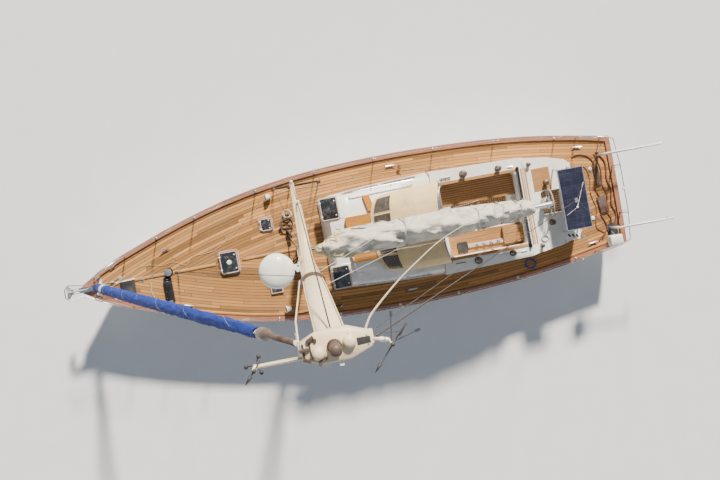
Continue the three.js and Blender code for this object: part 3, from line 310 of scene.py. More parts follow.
# Turned forms: sides, then the radius and height of each ring from foot to head; 0 closes an end
PROFILES = {
    "cleat_foot": (10, [(0, 0), (0.11, 0), (0.065, 0.05), (0.05, 0.2), (0, 0.2)]),
    "cheek": (14, [(0, 0), (0.5, 0), (0.5, 0.004), (0, 0.006)]),
    "sheave": (14, [(0, 0), (0.42, 0), (0.36, 0.12), (0.42, 0.24), (0, 0.24)]),
    "toggle_pin": (8, [(0, -0.02), (0.007, -0.02), (0.007, 0.02), (0, 0.02)]),
    "mast_winch": (20, [(0, 0), (0.055, 0), (0.055, 0.02), (0.036, 0.04), (0.033, 0.09), (0.046, 0.115),
                        (0.046, 0.13), (0.02, 0.135), (0, 0.13)]),
    "crane_stud": (12, [(0, 0), (0.013, 0), (0.012, 0.014), (0, 0.016)]),
    "crane_dome": (22, [(0, 0), (0.046, 0), (0.045, 0.02), (0.036, 0.042), (0.018, 0.052), (0, 0.053)]),
    "rivet": (6, [(0, 0), (0.007, 0), (0.006, 0.004), (0, 0.005)]),
    "whip_foot": (10, [(0, 0), (0.016, 0), (0.016, 0.05), (0, 0.051)]),
    "light_ring": (24, [(0, 0), (0.05, 0), (0.05, 0.012), (0, 0.012)]),
    "spreader_boot": (12, [(0, -0.035), (0.022, -0.03), (0.03, 0), (0.022, 0.03), (0, 0.035)]),
    "deck_lamp": (16, [(0, 0), (0.03, 0), (0.036, 0.03), (0, 0.032)]),
    "stanchion_base": (16, [(0, 0), (0.035, 0), (0.035, 0.006), (0.018, 0.012), (0.0165, 0.075), (0, 0.08)]),
    "base_screw": (6, [(0, 0), (0.005, 0), (0.004, 0.003), (0, 0.0035)]),
    "stay_sleeve": (12, [(0, 0), (0.02, 0), (0.02, 0.05), (0, 0.052)]),
    "windlass_cap": (28, [(0, 0), (0.088, 0), (0.094, 0.008), (0.09, 0.018), (0.06, 0.024), (0.022, 0.026),
                          (0.022, 0.04), (0, 0.04)]),
    "warping_end": (22, [(0, 0), (1, 0), (0.8, 0.02), (0.72, 0.04), (1, 0.065), (0, 0.07)]),
    "screw": (6, [(0, 0), (0.009, 0), (0.008, 0.005), (0, 0.006)]),
    "filler": (24, [(0, 0), (0.048, 0), (0.048, 0.004), (0.04, 0.006), (0.04, 0.003), (0, 0.004)]),
    "chain_pipe": (20, [(0, 0), (0.045, 0), (0.045, 0.01), (0.031, 0.014), (0.028, 0.004), (0, 0.004)]),
    "vent_mouth": (18, [(0, 0), (0.07, 0), (0, 0.002)]),
    "hatch_knob": (14, [(0, 0), (0.017, 0), (0.017, 0.006), (0.011, 0.012), (0, 0.013)]),
    "hatch_vent": (28, [(0, 0), (0.056, 0), (0.058, 0.004), (0.046, 0.012), (0.044, 0.008), (0.03, 0.014),
                        (0, 0.018)]),
    "rail_foot": (12, [(0, 0), (0.028, 0), (0.024, 0.01), (0.012, 0.02), (0.011, 0.1), (0, 0.1)]),
    "dial": (24, [(0, 0), (0.042, 0), (0.042, 0.006), (0.035, 0.010), (0.034, 0.007), (0, 0.007)]),
    "roof_vent": (22, [(0, 0), (0.07, 0), (0.07, 0.006), (0.045, 0.014), (0.05, 0.03), (0.02, 0.04),
                       (0, 0.04)]),
    "winch_key": (8, [(0, 0), (0.2, 0), (0.18, 0.002), (0, 0.002)]),
    "winch_top": (28, [(0, 0), (0.80, 0), (0.86, 0.004), (0.6, 0.012), (0, 0.012)]),
    "winch_jaws": (28, [(0.62, -0.018), (0.9, -0.016), (0.9, -0.008), (0.62, -0.006)]),
    "winch_socket": (8, [(0, 0.012), (0.016, 0.012), (0, 0.0135)]),
    "compass_bowl": (28, [(0, 0), (0.062, 0), (0.070, 0.02), (0.064, 0.05), (0.047, 0.055), (0, 0.056)]),
    "compass_dome": (24, [(0, 0.056), (0.045, 0.056), (0.039, 0.072), (0.021, 0.083), (0, 0.086)]),
    "aerial_knob": (16, [(0, 0), (0.02, 0.004), (0.03, 0.02), (0.02, 0.036), (0, 0.04)]),
    "stern_vent": (18, [(0, 0), (0.05, 0), (0.05, 0.02), (0.032, 0.032), (0, 0.034)]),
    "davit_ring": (14, [(0.022, -0.006), (0.034, -0.006), (0.034, 0.006), (0.022, 0.006)]),
    "stern_light": (16, [(0, 0), (0.03, 0), (0.034, 0.05), (0.02, 0.08), (0, 0.08)]),
    "skin_fitting": (20, [(0, -0.004), (1.6, -0.004), (1.5, 0.005), (1, 0.008), (0.9, -0.002), (0, -0.002)]),
    "anode": (20, [(0, -0.01), (0.07, -0.01), (0.06, 0.02), (0, 0.024)]),
}


class Shape:
    """Points and faces of one piece, gathered part by part, with a finish number for each face."""

    def __init__(self):
        self.points = []
        self.faces = []
        self.marks = []
        self.uvs = {}

    def add(self, points, faces, mark=0):
        start = len(self.points)
        self.points.extend(Vector(p) for p in points)
        self.faces.extend([start + i for i in face] for face in faces)
        self.marks.extend([mark] * len(faces))
        return start

    def loft(self, rings, closed=False, mark=0):
        """Skin through rings of equal length; closed joins the last ring to the first."""
        n = len(rings[0])
        faces = []
        count = len(rings) if closed else len(rings) - 1
        for i in range(count):
            a, b = i * n, ((i + 1) % len(rings)) * n
            faces += [[a + j, a + (j + 1) % n, b + (j + 1) % n, b + j] for j in range(n)]
        if not closed:
            faces += [list(range(n - 1, -1, -1)), [(len(rings) - 1) * n + j for j in range(n)]]
        self.add([p for ring in rings for p in ring], faces, mark)

    def patch(self, rows, mark=0, uv=None):
        """Open sheet through rows of points, with UVs from a function of row and column."""
        n = len(rows[0])
        faces = [[i * n + j, i * n + j + 1, (i + 1) * n + j + 1, (i + 1) * n + j]
                 for i in range(len(rows) - 1) for j in range(n - 1)]
        start = self.add([p for row in rows for p in row], faces, mark)
        if uv:
            for i in range(len(rows)):
                for j in range(n):
                    self.uvs[start + i * n + j] = uv(i, j)

    def tube(self, path, radius, sides=8, mark=0, flat=1.0):
        """Round bar along points, with UVs in turns of a braid; the radius is one number or one a point."""
        points = [Vector(p) for p in path]
        radii = radius if isinstance(radius, (list, tuple)) else [radius] * len(points)
        runs = [(b - a).normalized() for a, b in zip(points, points[1:])]
        aims = [runs[0]] + [(a + b).normalized() for a, b in zip(runs, runs[1:])] + [runs[-1]]
        helper = Vector((0, 0, 1)) if abs(aims[0].z) < 0.9 else Vector((1, 0, 0))
        side = helper.cross(aims[0]).normalized()
        rings = []
        for p, aim, r in zip(points, aims, radii):
            side = (side - aim * side.dot(aim)).normalized()
            over = aim.cross(side)
            rings.append([p + side * (r * math.cos(t)) + over * (r * flat * math.sin(t))
                          for t in turns(sides)])
        start, done = len(self.points), 0.0
        self.loft(rings, mark=mark)
        for i, p in enumerate(points):
            done += (p - points[max(i - 1, 0)]).length
            for j in range(sides):
                self.uvs[start + i * sides + j] = (done / (radii[i] * 6.4), j / sides)

    def lathe(self, profile, at, axis=UP, sides=20, mark=0, wide=1.0, high=1.0):
        """Turned piece: a named form, or a profile of radius and height, along an axis."""
        if isinstance(profile, str):
            sides, profile = PROFILES[profile]
        turn = UP.rotation_difference(Vector(axis).normalized())
        self.loft([[Vector(at) + turn @ ring_point(t, max(r * wide, CENTRE), h * high) for t in turns(sides)]
                   for r, h in profile], mark=mark)

    def block(self, at, size, turn=0.0, lean=0.0, bevel=0.0, mark=0):
        """Box about its middle, with chamfered edges where a bevel is given."""
        half = Vector(size) / 2
        matrix = Matrix.Rotation(turn, 3, "Z") @ Matrix.Rotation(lean, 3, "Y")
        made = bmesh.new()
        bmesh.ops.create_cube(made, size=1)
        for v in made.verts:
            v.co = Vector((v.co.x * 2 * half.x, v.co.y * 2 * half.y, v.co.z * 2 * half.z))
        if bevel:
            bmesh.ops.bevel(made, geom=made.edges[:], offset=bevel, segments=2, profile=0.7, affect="EDGES")
        made.verts.index_update()
        self.add([Vector(at) + matrix @ v.co for v in made.verts],
                 [[v.index for v in f.verts] for f in made.faces], mark)
        made.free()

    def border(self, x0, x1, y0, y1, width, low, high, corner=0.03):
        """Flat frame round an opening, between two heights that may be functions of x and y."""
        level = [h if callable(h) else (lambda x, y, h=h: h) for h in (low, high)]
        inner = rounded(x0, x1, y0, y1, corner)
        outer = rounded(x0 - width, x1 + width, y0 - width, y1 + width, corner + width)
        rings = [[(ax, ay, level[0](bx, by)), (ax, ay, level[1](bx, by)), (bx, by, level[1](bx, by)),
                  (bx, by, level[0](bx, by))] for (ax, ay), (bx, by) in zip(inner, outer)]
        self.loft(rings, closed=True)

    def cleat(self, at, turn, size):
        """Horn cleat: two feet and a bar whose horns rise and taper."""
        at, run = Vector(at), ring_point(turn, 1)
        for k in (-0.17, 0.17):
            self.lathe("cleat_foot", at + run * size * k, wide=size, high=size)
        horns = ((-0.5, 0.27, 0.025), (-0.28, 0.21, 0.055), (0, 0.19, 0.065), (0.28, 0.21, 0.055),
                 (0.5, 0.27, 0.025))
        bar = [at + run * size * k + up(size) * h for k, h, _ in horns]
        self.tube(bar, [size * r for _, _, r in horns], 8)

    def slab(self, outline, low, high):
        """Plan outline with a height at its foot and at its head, each a number or a function of x and y."""
        level = [h if callable(h) else (lambda x, y, h=h: h) for h in (low, high)]
        self.loft([[Vector((x, y, h(x, y))) for x, y in outline] for h in level])

    def make(self, name, finishes, slot=None, smooth=35, body="yacht", sheet=0.0, stands_for=(),
             recalculate=True):
        """Turns what was gathered into an object that rides on a body; one string names the finishes."""
        mesh = bpy.data.meshes.new(name)
        mesh.from_pydata([tuple(p) for p in self.points], [], self.faces)
        for finish in finishes.split():
            mesh.materials.append(F[finish])
        mesh.polygons.foreach_set("material_index", self.marks)
        if self.uvs:
            layer = mesh.uv_layers.new(name="cloth")
            for loop in mesh.loops:
                layer.data[loop.index].uv = self.uvs.get(loop.vertex_index, (0, 0))
        if recalculate:
            made = bmesh.new()
            made.from_mesh(mesh)
            bmesh.ops.recalc_face_normals(made, faces=made.faces[:])
            made.to_mesh(mesh)
            made.free()
        return settle(name, mesh, body, smooth, sheet, stands_for)


def settle(name, mesh, body, smooth=35, sheet=0.0, stands_for=()):
    """Makes a mesh's object, finishes its shading and thickness, and puts it on its body."""
    obj = bpy.data.objects.new(name, mesh)
    bpy.context.scene.collection.objects.link(obj)
    mesh.shade_smooth()
    if smooth < 180:
        mesh.set_sharp_from_angle(angle=math.radians(smooth))
    if sheet:
        wall = obj.modifiers.new("Wall", "SOLIDIFY")
        wall.thickness, wall.offset = sheet, 0
    if isinstance(body, str):
        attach(obj, body)
    if stands_for:
        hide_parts(*stands_for)
    return obj


def shapes(count):
    """Empty shapes, one for each finish of a group."""
    return [Shape() for _ in range(count)]


def up(height):
    return Vector((0, 0, height))


def ring_point(angle, r, height=0.0):
    """Point of a level ring round the origin."""
    return Vector((r * math.cos(angle), r * math.sin(angle), height))


def rounded(x0, x1, y0, y1, r, count=5):
    """Plan outline of a rectangle with rounded corners."""
    corners = ((x1 - r, y1 - r, 0), (x0 + r, y1 - r, 1), (x0 + r, y0 + r, 2), (x1 - r, y0 + r, 3))
    return [(x + r * math.cos(a), y + r * math.sin(a)) for x, y, quarter in corners
            for a in spread(quarter * math.pi / 2, (quarter + 1) * math.pi / 2, count)]


def turns(sides):
    """Angles of a ring's points."""
    return [2 * math.pi * i / sides for i in range(sides)]


def spread(low, high, count):
    """Evenly spaced values, both ends included."""
    return [low + (high - low) * i / (count - 1) for i in range(count)]


def lerp(a, b, t):
    return a + (b - a) * t


def curve_through(points, count):
    """Evenly spaced points on a smooth curve through a few given ones."""
    p = [Vector(q) for q in points]
    p = [2 * p[0] - p[1]] + p + [2 * p[-1] - p[-2]]
    fine = []
    for i in range(1, len(p) - 2):
        for k in range(16):
            t = k / 16
            fine.append(0.5 * (2 * p[i] + (p[i + 1] - p[i - 1]) * t
                        + (2 * p[i - 1] - 5 * p[i] + 4 * p[i + 1] - p[i + 2]) * t * t
                        + (3 * p[i] - 3 * p[i + 1] + p[i + 2] - p[i - 1]) * t ** 3))
    fine.append(p[-2])
    reach = [0.0]
    for a, b in zip(fine, fine[1:]):
        reach.append(reach[-1] + (b - a).length)
    wanted = spread(0, reach[-1], count)
    return [Vector([float(np.interp(w, reach, [q[i] for q in fine])) for i in range(3)]) for w in wanted]


def merged_mesh(node):
    """A copy of a solid's mesh with its loose triangles joined."""
    made = bmesh.new()
    made.from_mesh(NODES[node].data)
    bmesh.ops.remove_doubles(made, verts=made.verts[:], dist=1e-5)
    mesh = bpy.data.meshes.new(node + "_copy")
    made.to_mesh(mesh)
    made.free()
    mesh.materials.clear()
    return mesh


def tree_of(*nodes):
    """Search tree over the faces of some solids."""
    points, faces = [], []
    for node in nodes:
        data = NODES[node].data
        start = len(points)
        points += [v.co.copy() for v in data.vertices]
        faces += [[start + i for i in f.vertices] for f in data.polygons]
    return BVHTree.FromPolygons(points, faces)


LANDING = tree_of("deck", "cap_rail", "coachroof", "cockpit", "hatch_garage")
TALLEST = 2.3


def top_of(x, y, start=TALLEST):
    """Height of the deck, roof or coaming under a place."""
    hit = LANDING.ray_cast(Vector((x, y, start)), Vector((0, 0, -1)))
    return hit[0].z if hit[0] else 1.3


def on_top(x, y, lift=0.0, start=TALLEST):
    """Point over a place in plan, lifted from the deck, roof or coaming there."""
    return Vector((x, y, top_of(x, y, start) + lift))


def sheer_rows():
    """Half beam and sheer height at each of the hull's slices."""
    low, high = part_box("hull")
    rows = []
    points = [v.co for v in NODES["hull"].data.vertices]
    for x in spread(high.x, low.x, HULL_SLICES + 1):
        near = [p for p in points if abs(p.x - x) < 0.002]
        edge = max(near, key=lambda p: (round(p.y, 4), p.z))
        rows.append((x, edge.y, edge.z))
    return rows


SHEER = sheer_rows()


def half_beam(x):
    return float(np.interp(-x, [-r[0] for r in SHEER], [r[1] for r in SHEER]))


def sheer(x):
    return float(np.interp(-x, [-r[0] for r in SHEER], [r[2] for r in SHEER]))


def rail_point(x, side, height):
    """Point over the middle of the cap rail, as the stanchions stand."""
    return Vector((x, side * (half_beam(x) - 0.06), sheer(x) + RAIL_HEIGHT + height))


def repeat_tree(kind):
    """Node tree that sets a small form at even steps along paths: a pin, a bar or a chain link."""
    tree = bpy.data.node_groups.new("repeat_" + kind, "GeometryNodeTree")
    face = tree.interface
    face.new_socket("Geometry", in_out="OUTPUT", socket_type="NodeSocketGeometry")
    for label, sort in (("Geometry", "NodeSocketGeometry"), ("Spacing", "NodeSocketFloat"),
                        ("Size", "NodeSocketVector"), ("Twist", "NodeSocketFloat"),
                        ("Finish", "NodeSocketMaterial")):
        face.new_socket(label, in_out="INPUT", socket_type=sort)

    def node(sort, settings=None, **links):
        made = tree.nodes.new(sort)
        for key, value in (settings or {}).items():
            setattr(made, key, value)
        for key, value in links.items():
            socket = made.inputs[key.replace("_", " ")]
            if isinstance(value, bpy.types.NodeSocket):
                tree.links.new(value, socket)
            else:
                socket.default_value = value
        return made

    given = node("NodeGroupInput").outputs
    curve = node("GeometryNodeMeshToCurve", Mesh=given["Geometry"]).outputs[0]
    level = node("GeometryNodeSetCurveNormal", {"mode": "Z_UP"}, Curve=curve).outputs[0]
    spots = node("GeometryNodeCurveToPoints", {"mode": "LENGTH"}, Curve=level,
                 Length=given["Spacing"]).outputs
    if kind == "pin":
        form = node("GeometryNodeMeshCylinder", Vertices=8, Radius=0.5, Depth=1.0).outputs["Mesh"]
        form = node("GeometryNodeTransform", Geometry=form, Rotation=(math.pi / 2, 0, 0)).outputs[0]
    elif kind == "bar":
        form = node("GeometryNodeMeshCube", Size=(1, 1, 1)).outputs["Mesh"]
    else:
        ring = node("GeometryNodeCurvePrimitiveCircle", Resolution=10, Radius=0.36).outputs[0]
        ring = node("GeometryNodeTransform", Geometry=ring, Rotation=(math.pi / 2, 0, 0),
                    Scale=(0.72, 1, 1)).outputs[0]
        wire = node("GeometryNodeCurvePrimitiveCircle", Resolution=5, Radius=0.13).outputs[0]
        form = node("GeometryNodeCurveToMesh", Curve=ring, Profile_Curve=wire).outputs[0]
    index = node("GeometryNodeInputIndex").outputs[0]
    angle = node("ShaderNodeMath", {"operation": "MULTIPLY"})
    tree.links.new(index, angle.inputs[0])
    tree.links.new(given["Twist"], angle.inputs[1])
    turned = node("FunctionNodeAxisAngleToRotation", Axis=(0, 0, 1), Angle=angle.outputs[0]).outputs[0]
    way = node("FunctionNodeRotateRotation", {"rotation_space": "LOCAL"}, Rotation=spots["Rotation"],
               Rotate_By=turned).outputs[0]
    copies = node("GeometryNodeInstanceOnPoints", Points=spots["Points"], Instance=form, Rotation=way,
                  Scale=given["Size"]).outputs[0]
    real = node("GeometryNodeRealizeInstances", Geometry=copies).outputs[0]
    done = node("GeometryNodeSetMaterial", Geometry=real, Material=given["Finish"]).outputs[0]
    tree.links.new(done, node("NodeGroupOutput").inputs[0])
    return tree


def repeat_along(name, paths, kind, spacing, size, finish, body="yacht", twist=0.0):
    """Copies of a small form along paths as one plain mesh; size is across, upright and along the path."""
    points, edges = [], []
    for path in paths:
        start = len(points)
        points += [tuple(p) for p in path]
        edges += [(start + i, start + i + 1) for i in range(len(path) - 1)]
    mesh = bpy.data.meshes.new(name + "_paths")
    mesh.from_pydata(points, edges, [])
    base = bpy.data.objects.new(name + "_paths", mesh)
    bpy.context.scene.collection.objects.link(base)
    tree = bpy.data.node_groups.get("repeat_" + kind) or repeat_tree(kind)
    modifier = base.modifiers.new("Repeat", "NODES")
    modifier.node_group = tree
    values = {"Spacing": spacing, "Size": size, "Twist": twist, "Finish": F[finish]}
    for item in tree.interface.items_tree:
        if item.in_out == "INPUT" and item.name in values:
            modifier[item.identifier] = values[item.name]
    made = bpy.data.meshes.new_from_object(base.evaluated_get(bpy.context.evaluated_depsgraph_get()))
    bpy.data.objects.remove(base)
    return settle(name, made, body)


def teak_deck():
    """Weathered laid teak: planks along the sheer, dark seams, butts and a tone for each plank."""
    s, c = sizes(), colours()
    f = Finish("teak_deck")
    along, across, _ = f.axes(f.place(uv="planks"))
    rows = across / s.plank
    row = rows.floor()
    shift = f.chance(f.join(row, 3.7))
    boards = along / s.plank_length + shift * 5.0
    board = boards.floor()
    luck = f.chance(f.join(row, board, 1.3))
    edge = abs(rows.fract() - 0.5) > (0.5 - s.seam / s.plank / 2)
    butt = abs(boards.fract() - 0.5) > (0.5 - s.seam / s.plank_length / 2)
    seam = f.math("MAXIMUM", edge, butt)
    grain = f.noise(f.join(along * 2.5, across * 70.0, luck * 9.0), 1.0, 4.0, 0.7)
    patch = f.noise(f.join(along * 0.7, across * 0.9), 1.0, 3.0)
    wear = f.noise(f.join(along * 5.0, across * 6.0), 1.0, 2.0)
    wood = f.tones(luck * 0.55 + grain * 0.45, (0.18, tone(c.teak, 0.40)), (0.42, tone(c.teak, 0.84)),
                   (0.60, tone(c.teak, 1.05)), (0.85, tone(c.teak, 1.45)))
    grey = f.mix(f.span(patch, 0.45, 0.75) * 0.25, wood, (0.30, 0.21, 0.13))
    warm = f.mix(f.span(wear, 0.55, 0.8) * 0.5, grey, (0.46, 0.17, 0.045))
    colour_out = f.mix(seam * f.span(wear, 0.3, 0.6, 0.65, 0.97), warm, (0.035, 0.028, 0.022))
    height = grain * 0.35 - seam * 1.0
    return f.close(Base_Color=colour_out, Roughness=0.72 + grain * 0.15, Specular_IOR_Level=0.3,
                   Normal=f.bump(height, 0.002, 0.7))


def wood(name, base, axis, rough, coat=0.0, dark=0.55):
    """Wood whose grain runs along one axis of the object."""
    f = Finish(name)
    stretch = [24.0] * 3
    stretch["XYZ".index(axis)] = 1.3
    at = f.place(scale=stretch)
    grain = f.noise(at, 1.0, 5.0, 0.65, 0.6)
    broad = f.noise(f.place(scale=(1.1, 1.1, 1.1)), 1.0, 2.0)
    made = f.tones(grain * 0.75 + broad * 0.25, (0.28, tone(base, dark)), (0.5, base),
                   (0.75, tone(base, 1.35)))
    return f.close(Base_Color=made, Roughness=f.span(grain, 0.3, 0.7, rough, rough + 0.18),
                   Normal=f.bump(grain, 0.0012, 0.5), Coat_Weight=coat, Coat_Roughness=0.12)


def gelcoat(name, base, rough=0.28, dirt=0.35, coat=0.3):
    """Gelcoat or paint with chalking, faint streaks and patches of grime."""
    f = Finish(name)
    fog = f.noise(f.place(), 1.6, 5.0, 0.6)
    streak = f.noise(f.place(scale=(9, 9, 1.2)), 1.0, 4.0, 0.6)
    grime = f.span(fog * 0.5 + streak * 0.5, 0.5, 0.72) * dirt
    made = f.mix(grime, f.mix(fog, tone(base, 0.95), tone(base, 1.05)), (0.42, 0.38, 0.31))
    orange_peel = f.noise(f.place(), 60.0, 2.0)
    return f.close(Base_Color=made, Roughness=f.span(fog, 0.3, 0.7, rough, rough + 0.2),
                   Normal=f.bump(orange_peel, 0.0006, 0.3), Coat_Weight=coat, Coat_Roughness=0.15)


def non_skid():
    """Moulded non-skid panels of small diamonds, a little greyer than the gelcoat round them."""
    f = Finish("non_skid")
    at = f.place(scale=(1, 1, 1), turn=(0, 0, math.radians(45)))
    x, y, _ = f.axes(at)
    pitch = 0.012
    peak = abs((x / pitch).fract() - 0.5) + abs((y / pitch).fract() - 0.5)
    fog = f.noise(f.place(), 2.2, 4.0)
    made = f.mix(f.span(fog, 0.4, 0.75) * 0.5, tone(colours().gelcoat, 0.93), (0.55, 0.51, 0.43))
    return f.close(Base_Color=made, Roughness=0.6 + fog * 0.15, Normal=f.bump(peak, 0.0015, 0.8))


def topsides():
    """Hull sides with a boot stripe above the waterline and bottom paint below it."""
    c = colours()
    f = Finish("topsides")
    _, _, z = f.axes(f.place())
    fog = f.noise(f.place(scale=(0.6, 0.6, 2.5)), 2.0, 4.0)
    streak = f.noise(f.place(scale=(14, 14, 0.9)), 1.0, 3.0)
    side = f.mix(f.span(fog * 0.6 + streak * 0.4, 0.5, 0.7) * 0.35, c.topsides, tone(c.topsides, 0.72))
    slime = f.noise(f.place(scale=(3, 3, 8)), 1.0, 4.0)
    scum = f.mix((z < 0.09 + slime * 0.05) * 0.5, side, (0.36, 0.34, 0.22))
    stripe = (z > 0.14) * (z < 0.235)
    banded = f.mix(stripe, scum, c.stripe)
    bottom = f.mix(f.span(fog, 0.35, 0.7), tone(c.antifoul, 0.75), tone(c.antifoul, 1.3))
    below = z < 0.035
    return f.close(Base_Color=f.mix(below, banded, bottom), Roughness=f.span(below, 0, 1, 0.22, 0.78),
                   Coat_Weight=f.span(below, 0, 1, 0.5, 0.0), Coat_Roughness=0.1,
                   Normal=f.bump(slime * below, 0.004, 0.5))


def metal(name, base, rough=0.25, brushed=0.0, tarnish=0.25):
    """Metal with fine scratches and cloudy tarnish."""
    f = Finish(name)
    cloud = f.noise(f.place(), 7.0, 4.0, 0.65)
    scratch = f.noise(f.place(scale=(140, 140, 5)), 1.0, 2.0)
    made = f.mix(f.span(cloud, 0.45, 0.75) * tarnish, base, tone(base, 0.45))
    return f.close(Base_Color=made, Metallic=1.0, Roughness=f.span(cloud, 0.3, 0.7, rough, rough + 0.22),
                   Normal=f.bump(scratch, 0.0004, 0.2 + brushed))


def cloth(name, base, weave=0.0011, creases=0.5, shade=0.75, uv=None, rough=0.85, stain=0.3, facets=0.0):
    """Woven cloth with a fine weave, soft creases and stains, with painted shade darkening the crease lines
    and the edges of the facets; facets are the flats between sharp creases.
    """
    f = Finish(name)
    at = f.place(uv=uv)
    x, y, z = f.axes(at)
    count = math.pi / weave
    if uv:
        threads = f.math("SINE", x * count) + f.math("SINE", y * count)
    else:
        threads = f.math("SINE", (x + z * 0.6) * count) + f.math("SINE", (y + z * 0.6) * count)
    crease = f.noise(f.place(scale=(1, 1, 1)), 3.2, 5.0, 0.6, 0.8)
    fold = abs(crease - 0.5) * 2.0
    spots = f.noise(f.place(), 5.5, 5.0, 0.7)
    # Painted shade: the colour darkens towards tone(base, shade) along the crease lines.
    made = f.mix(f.span(fold, 0.0, 0.35) * 0.5 + 0.5, tone(base, shade), base)
    made = f.mix(f.span(spots, 0.52, 0.8) * stain, made, tone(base, 0.55))
    height = threads * 0.12 + fold * creases
    if facets:
        bent = f.place(scale=(1.0, 2.2, 1.0), turn=(0, 0, 0.35))
        flats = f.dots(bent, 1.5) + f.dots(bent, 3.7) * 0.35
        # Painted shade: the colour darkens towards the edges of the facets.
        made = f.mix(f.span(flats, 0.35, 0.75) * 0.2, made, tone(base, shade))
        under = f.bump(flats, facets, 1.0)
        return f.close(Base_Color=made, Roughness=rough, Specular_IOR_Level=0.25,
                       Normal=f.bump(height, 0.004, 0.6, under))
    return f.close(Base_Color=made, Roughness=rough, Specular_IOR_Level=0.25,
                   Normal=f.bump(height, 0.004, 0.6))


def rope(name, base, fleck=(0.1, 0.1, 0.12)):
    """Braided rope: helical strands on the piece's own UV map, painted shade in the grooves between them, and
    a fleck in the braid.
    """
    f = Finish(name)
    u, v, _ = f.axes(f.place(uv="cloth"))
    one = f.math("SINE", (u * 2.0 + v) * 12.566)
    two = f.math("SINE", (u * 2.0 - v) * 12.566)
    braid = f.math("MAXIMUM", one, two)
    dirt = f.noise(f.place(), 11.0, 4.0)
    # Painted shade: the grooves between the strands are darkened to 0.55 of the rope's colour.
    made = f.mix(f.span(braid, -0.2, 0.9), tone(base, 0.55), base)
    made = f.mix(f.span(dirt, 0.5, 0.75) * 0.45, made, tone(base, 0.45))
    flecks = f.math("GREATER_THAN", f.math("SINE", (u + v * 0.5) * 6.283), 0.93)
    made = f.mix(flecks * 0.6, made, fleck)
    return f.close(Base_Color=made, Roughness=0.9, Normal=f.bump(braid, 0.0012, 0.7))


def plastic(name, base, rough=0.4, coat=0.0, age=0.25, metallic=0.0):
    """Moulded plastic or enamel with a fine texture and faded patches."""
    f = Finish(name)
    fade = f.noise(f.place(), 4.0, 5.0, 0.65)
    pits = f.dots(f.place(), 240.0)
    made = f.mix(f.span(fade, 0.4, 0.75) * age, base, f.mix(0.5, base, (0.45, 0.42, 0.38)))
    return f.close(Base_Color=made, Roughness=f.span(fade, 0.3, 0.7, rough, rough + 0.15),
                   Normal=f.bump(pits, 0.0004, 0.3), Coat_Weight=coat, Metallic=metallic)


def glazing(name, base, alpha=1.0, rough=0.06):
    """Smoked acrylic or clear vinyl with water marks."""
    f = Finish(name)
    marks = f.noise(f.place(), 9.0, 5.0, 0.7)
    spots = f.dots(f.place(), 45.0)
    film = f.span(marks, 0.5, 0.8) * 0.3 + (spots < 0.12) * 0.15
    made = f.mix(film, base, (0.45, 0.45, 0.43))
    return f.close(Base_Color=made, Roughness=f.span(film, 0, 0.4, rough, rough + 0.3), Alpha=alpha,
                   Coat_Weight=0.4, Normal=f.bump(marks, 0.001, 0.25))


def solar():
    """Solar cells: thin bright bus lines across dark cells under glass."""
    f = Finish("solar_cells")
    x, y, _ = f.axes(f.place(at=(0, 0, 0)))
    cell, bus = 0.156, 0.039
    gaps = f.math("MAXIMUM", abs((x / cell).fract() - 0.5) > 0.488, abs((y / cell).fract() - 0.5) > 0.488)
    lines = abs((x / bus).fract() - 0.5) > 0.468
    hue = f.chance(f.join((x / cell).floor(), (y / cell).floor()))
    dust = f.noise(f.place(), 6.0, 5.0, 0.7)
    made = f.mix(hue, colours().cells, tone(colours().cells, 1.6))
    made = f.mix(lines * 0.3, made, (0.13, 0.14, 0.22))
    made = f.mix(gaps * 0.6, made, (0.08, 0.09, 0.14))
    made = f.mix(f.span(dust, 0.45, 0.8) * 0.05, made, (0.3, 0.29, 0.27))
    return f.close(Base_Color=made, Roughness=f.span(dust, 0.3, 0.8, 0.3, 0.55),
                   Normal=f.bump(dust, 0.0006, 0.2))


F = {}


